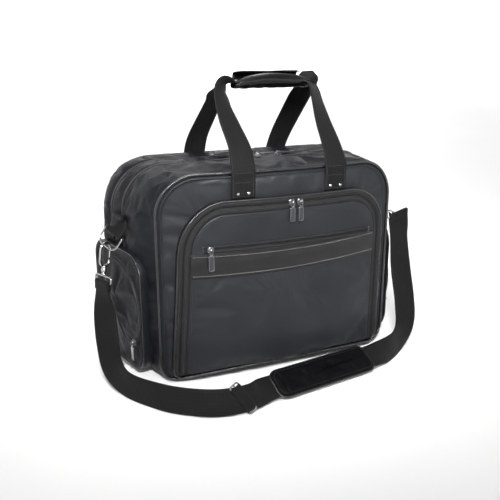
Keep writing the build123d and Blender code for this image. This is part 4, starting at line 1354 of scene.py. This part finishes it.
def strap_end(label, spot, away, body):
    """The strap's end: it goes over the eye's bar and is sewn down on both of its faces."""
    over = square_to(away, spot.eye_across)
    out = np.cross(spot.eye_across, over)
    turn = np.radians(np.linspace(0, 180, 13))
    leg = np.array([(13, 1.95), (10, 2.0), (6, 2.3), (3, 2.75)])
    flat = np.vstack([leg, np.column_stack([-2.9 * np.sin(turn), 2.9 * np.cos(turn)]), leg[::-1] * (1, -1)])
    fall = flat[:, :1] * np.where(flat[:, :1] > 0, unit(away), over)
    line = smooth_line(spot.below_eye(EYE_BAR) + fall + np.outer(flat[:, 1], out), 0.7)
    normal = np.cross(spot.eye_across, unit(np.gradient(line, axis=0)))
    profile = flat_profile(STRAP_WIDE, 1.6)
    piece = sweep(f"shoulder_strap_{label}_end", line, spot.eye_across, normal, profile)
    dress(piece, WEBBING, ride=False)
    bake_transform(piece)
    return piece


def shoulder_strap(label, stations, first):
    """Half of the strap; first is its first point below the eye."""
    spot, body = RINGS[label], f"{label}_ring"
    piece, line, _, _ = strap(f"shoulder_strap_{label}_webbing", stations, step=3.2)
    dress(piece, WEBBING, replaces=f"shoulder_strap_{label}", ride=False)
    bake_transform(piece)
    length = float(along(line)[-1]) * MM
    sewn = strap_end(label, spot, first - spot.below_eye(EYE_BAR), body)


shoulder_strap("left", STRAP_LEFT, STRAP_LEFT[1][0])
shoulder_strap("right", STRAP_RIGHT, STRAP_RIGHT[-1][0])

PAD_HALF = PAD_LENGTH / 2 - 0.5
PAD_WIDE = 23.5
PAD_CORNER = 14
PAD_CHANNEL = 16  # the sewn channel across it, from its left end
PAD_UP = square_to(PAD_LEAN, PAD_RUN)
PAD_OUT = np.cross(PAD_RUN, PAD_UP)
PAD_OUT = PAD_OUT * np.sign(-PAD_OUT[1])


def in_pad(flat, height):
    """Rows of (along, up) laid in the pad's middle plane, a height out of it."""
    laid = PAD_MIDDLE + np.outer(flat[:, 0], PAD_RUN) + np.outer(flat[:, 1], PAD_UP)
    return laid + np.outer(np.full(len(flat), height), PAD_OUT)


def pad_outline(inset, corner):
    return rounded(PAD_HALF - inset, -PAD_WIDE + inset, PAD_WIDE - inset, corner, corner, fine=FINE)


def pad_rows(face):
    """One face of the pad: rings from its seam inwards, crowned, with a sewn channel near its left end."""
    rows, flats = [], []
    for i in (0.4, 1.6, 3.2, 4.6, 6.2, 8.2, 11, 14, 17, 20, 23.2):
        flat = pad_outline(i, PAD_CORNER - i)
        crown = 4.6 * (1 - (1 - min(i / 12, 1)) ** 2.2) ** 0.7
        dent = 1 - 0.5 * np.exp(-(((flat[:, 0] + PAD_HALF - PAD_CHANNEL) / 2.2) ** 2))
        dent *= 1 - 0.34 * np.exp(-(((i - 4.6) / 1.3) ** 2))
        rows.append(in_pad(flat, face * (0.5 + crown * dent)))
        flats.append(flat)
    return rows, flats


front_rows, flats = pad_rows(1)
back_rows, _ = pad_rows(-1)
pad = grid("shoulder_pad_fabric", np.array(front_rows[::-1] + back_rows), uv=np.array(flats[::-1] + flats))
weld(pad, outward=True)
co = points_of(pad)
local = (co - PAD_MIDDLE) @ np.array([PAD_RUN, PAD_UP, PAD_OUT]).T
gap = inset_in(local[:, :2], PAD_HALF, -PAD_WIDE, PAD_WIDE, PAD_CORNER, PAD_CORNER)
co += np.outer(ruffle(co * (1, 1, 1.6), 26, 1.6, 44.0) * np.clip((gap - 5) / 6, 0, 1), PAD_OUT)
move_points(pad, co)
sewn = (gap < 5) | (np.abs(local[:, 0] + PAD_HALF - PAD_CHANNEL) < 2)
settle(pad, sewn.astype(float), grow=0.012, pressure=0.6, cap=2.5)
dress(pad, PAD, "shoulder_pad", replaces="shoulder_pad")
bead("shoulder_pad_binding", pad_outline(0.2, PAD_CORNER), 0.0, 1.5, in_pad, "shoulder_pad")
channel = np.column_stack([np.full(30, -PAD_HALF + PAD_CHANNEL), np.linspace(-18, 18, 30)])
for k, row in enumerate((pad_outline(4.6, 10), channel)):
    sew(f"shoulder_pad_stitch_{k}", in_pad(row, 3.3), PAD_OUT, "shoulder_pad", PAD, 3.3, 2.3, 0.34)

# The adjuster: a metal frame round the strap with its middle bar wrapped in webbing.
ADJUSTER_AT = np.array([-118, -205.6, 21])
adjust_run = unit([1, -0.02, 0.01])
adjust_up = square_to(LEAN_BACK, adjust_run)
adjust_out = np.cross(adjust_run, adjust_up)
adjust_out = adjust_out * np.sign(-adjust_out[1])
TILT = radians(30)
tilted_run = adjust_run * cos(TILT) + adjust_up * sin(TILT)
tilted_up = adjust_up * cos(TILT) - adjust_run * sin(TILT)
origin, axes = frame_of = (ADJUSTER_AT + adjust_out * 2.4, np.array([tilted_run, tilted_up, adjust_out]))
loop = loop_in("adjuster_loop", frame_of, ring_points(13.6, 47.6, 3.0), 1.35, n=12)
bar = tube_in("adjuster_bar", frame_of, [(0, -23, 0.1), (0, 0, 0.1), (0, 23, 0.1)], 1.25, step=1.5)
dress(joined("strap_adjuster_metal", [loop, bar]), GUNMETAL, "bag", "strap_adjuster")
FOLD = [
    (-7.4, -1.2), (-7.9, 0.6), (-6.4, 1.9), (-3.5, 2.1), (0, 2.5),
    (4.6, 2.1), (7.4, 1.6), (8.2, 0.2), (7.2, -1.2),
]
line = smooth_line(np.array([(x, 0, z) for x, z in FOLD]) @ axes + origin, 0.8)
_, across, normal = frames(line, tilted_up)
wrap = sweep("adjuster_wrap_webbing", line, across, normal, flat_profile(41, 1.5))
dress(wrap, WEBBING)


# ---- CAD pieces kept as they are, all inside the bag --------------------------------
for node, material, slot in (("divider", LINING, "lining"), ("base_board", BOARD, "base_board")):
    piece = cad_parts[node]
    piece.data.materials.clear()
    piece.data.materials.append(material)

# ---- floor and light ----------------------------------------------------------------
STAGE_RADIUS = 7000
turn = np.linspace(0, 2 * pi, 97)[:-1]
rim = np.column_stack([STAGE_RADIUS * np.cos(turn), STAGE_RADIUS * np.sin(turn), 0 * turn])
floor = new_mesh("floor", rim - (0, 0, 1.2), [tuple(range(96))])
floor.data.materials.append(FLOOR)
wall = grid("backdrop", np.array([rim + (0, 0, h) for h in (-1.2, 2200)]), ring=True)
m = bpy.data.materials.new("backdrop")
m.use_nodes = True
glow = m.node_tree.nodes["Principled BSDF"].inputs
for socket in ("Base Color", "Emission Color"):
    glow[socket].default_value = (1, 1, 1, 1)
glow["Emission Strength"].default_value = 0.95
wall.data.materials.append(m)


def area_light(name, place, target, size, power, spread=180):
    """Round light aimed at a target, in metres, watts and degrees."""
    data = bpy.data.lights.new(name, "AREA")
    data.shape = "DISK"
    data.size = size
    data.energy = power
    data.spread = radians(spread)
    light = bpy.data.objects.new(name, data)
    light.location = place
    light.rotation_euler = (Vector(target) - Vector(place)).to_track_quat("-Z", "Y").to_euler()
    bpy.context.scene.collection.objects.link(light)


area_light("key", (-0.5, -1.15, 1.15), (-0.05, -0.1, 0.44), 0.4, 5, 46)
area_light("front", (-0.7, -2.5, 1.9), (0, 0, 0.15), 1.5, 9)
area_light("left", (-2.3, -0.5, 1.7), (0, 0, 0.15), 0.9, 6)
area_light("right", (2.2, -1.1, 1.3), (0, 0, 0.15), 1.2, 9)
area_light("top", (0.2, 0.5, 2.7), (0, 0, 0.1), 1.6, 8)
area_light("far_floor", (0.6, 3.6, 3.0), (0.6, 3.6, 0), 3.0, 90)
world = bpy.data.worlds.new("world")
world.use_nodes = True
sky = world.node_tree.nodes["Background"].inputs
sky["Color"].default_value = (1, 1, 1, 1)
sky["Strength"].default_value = 0.36
bpy.context.scene.world = world
bpy.context.scene.view_settings.view_transform = "Standard"
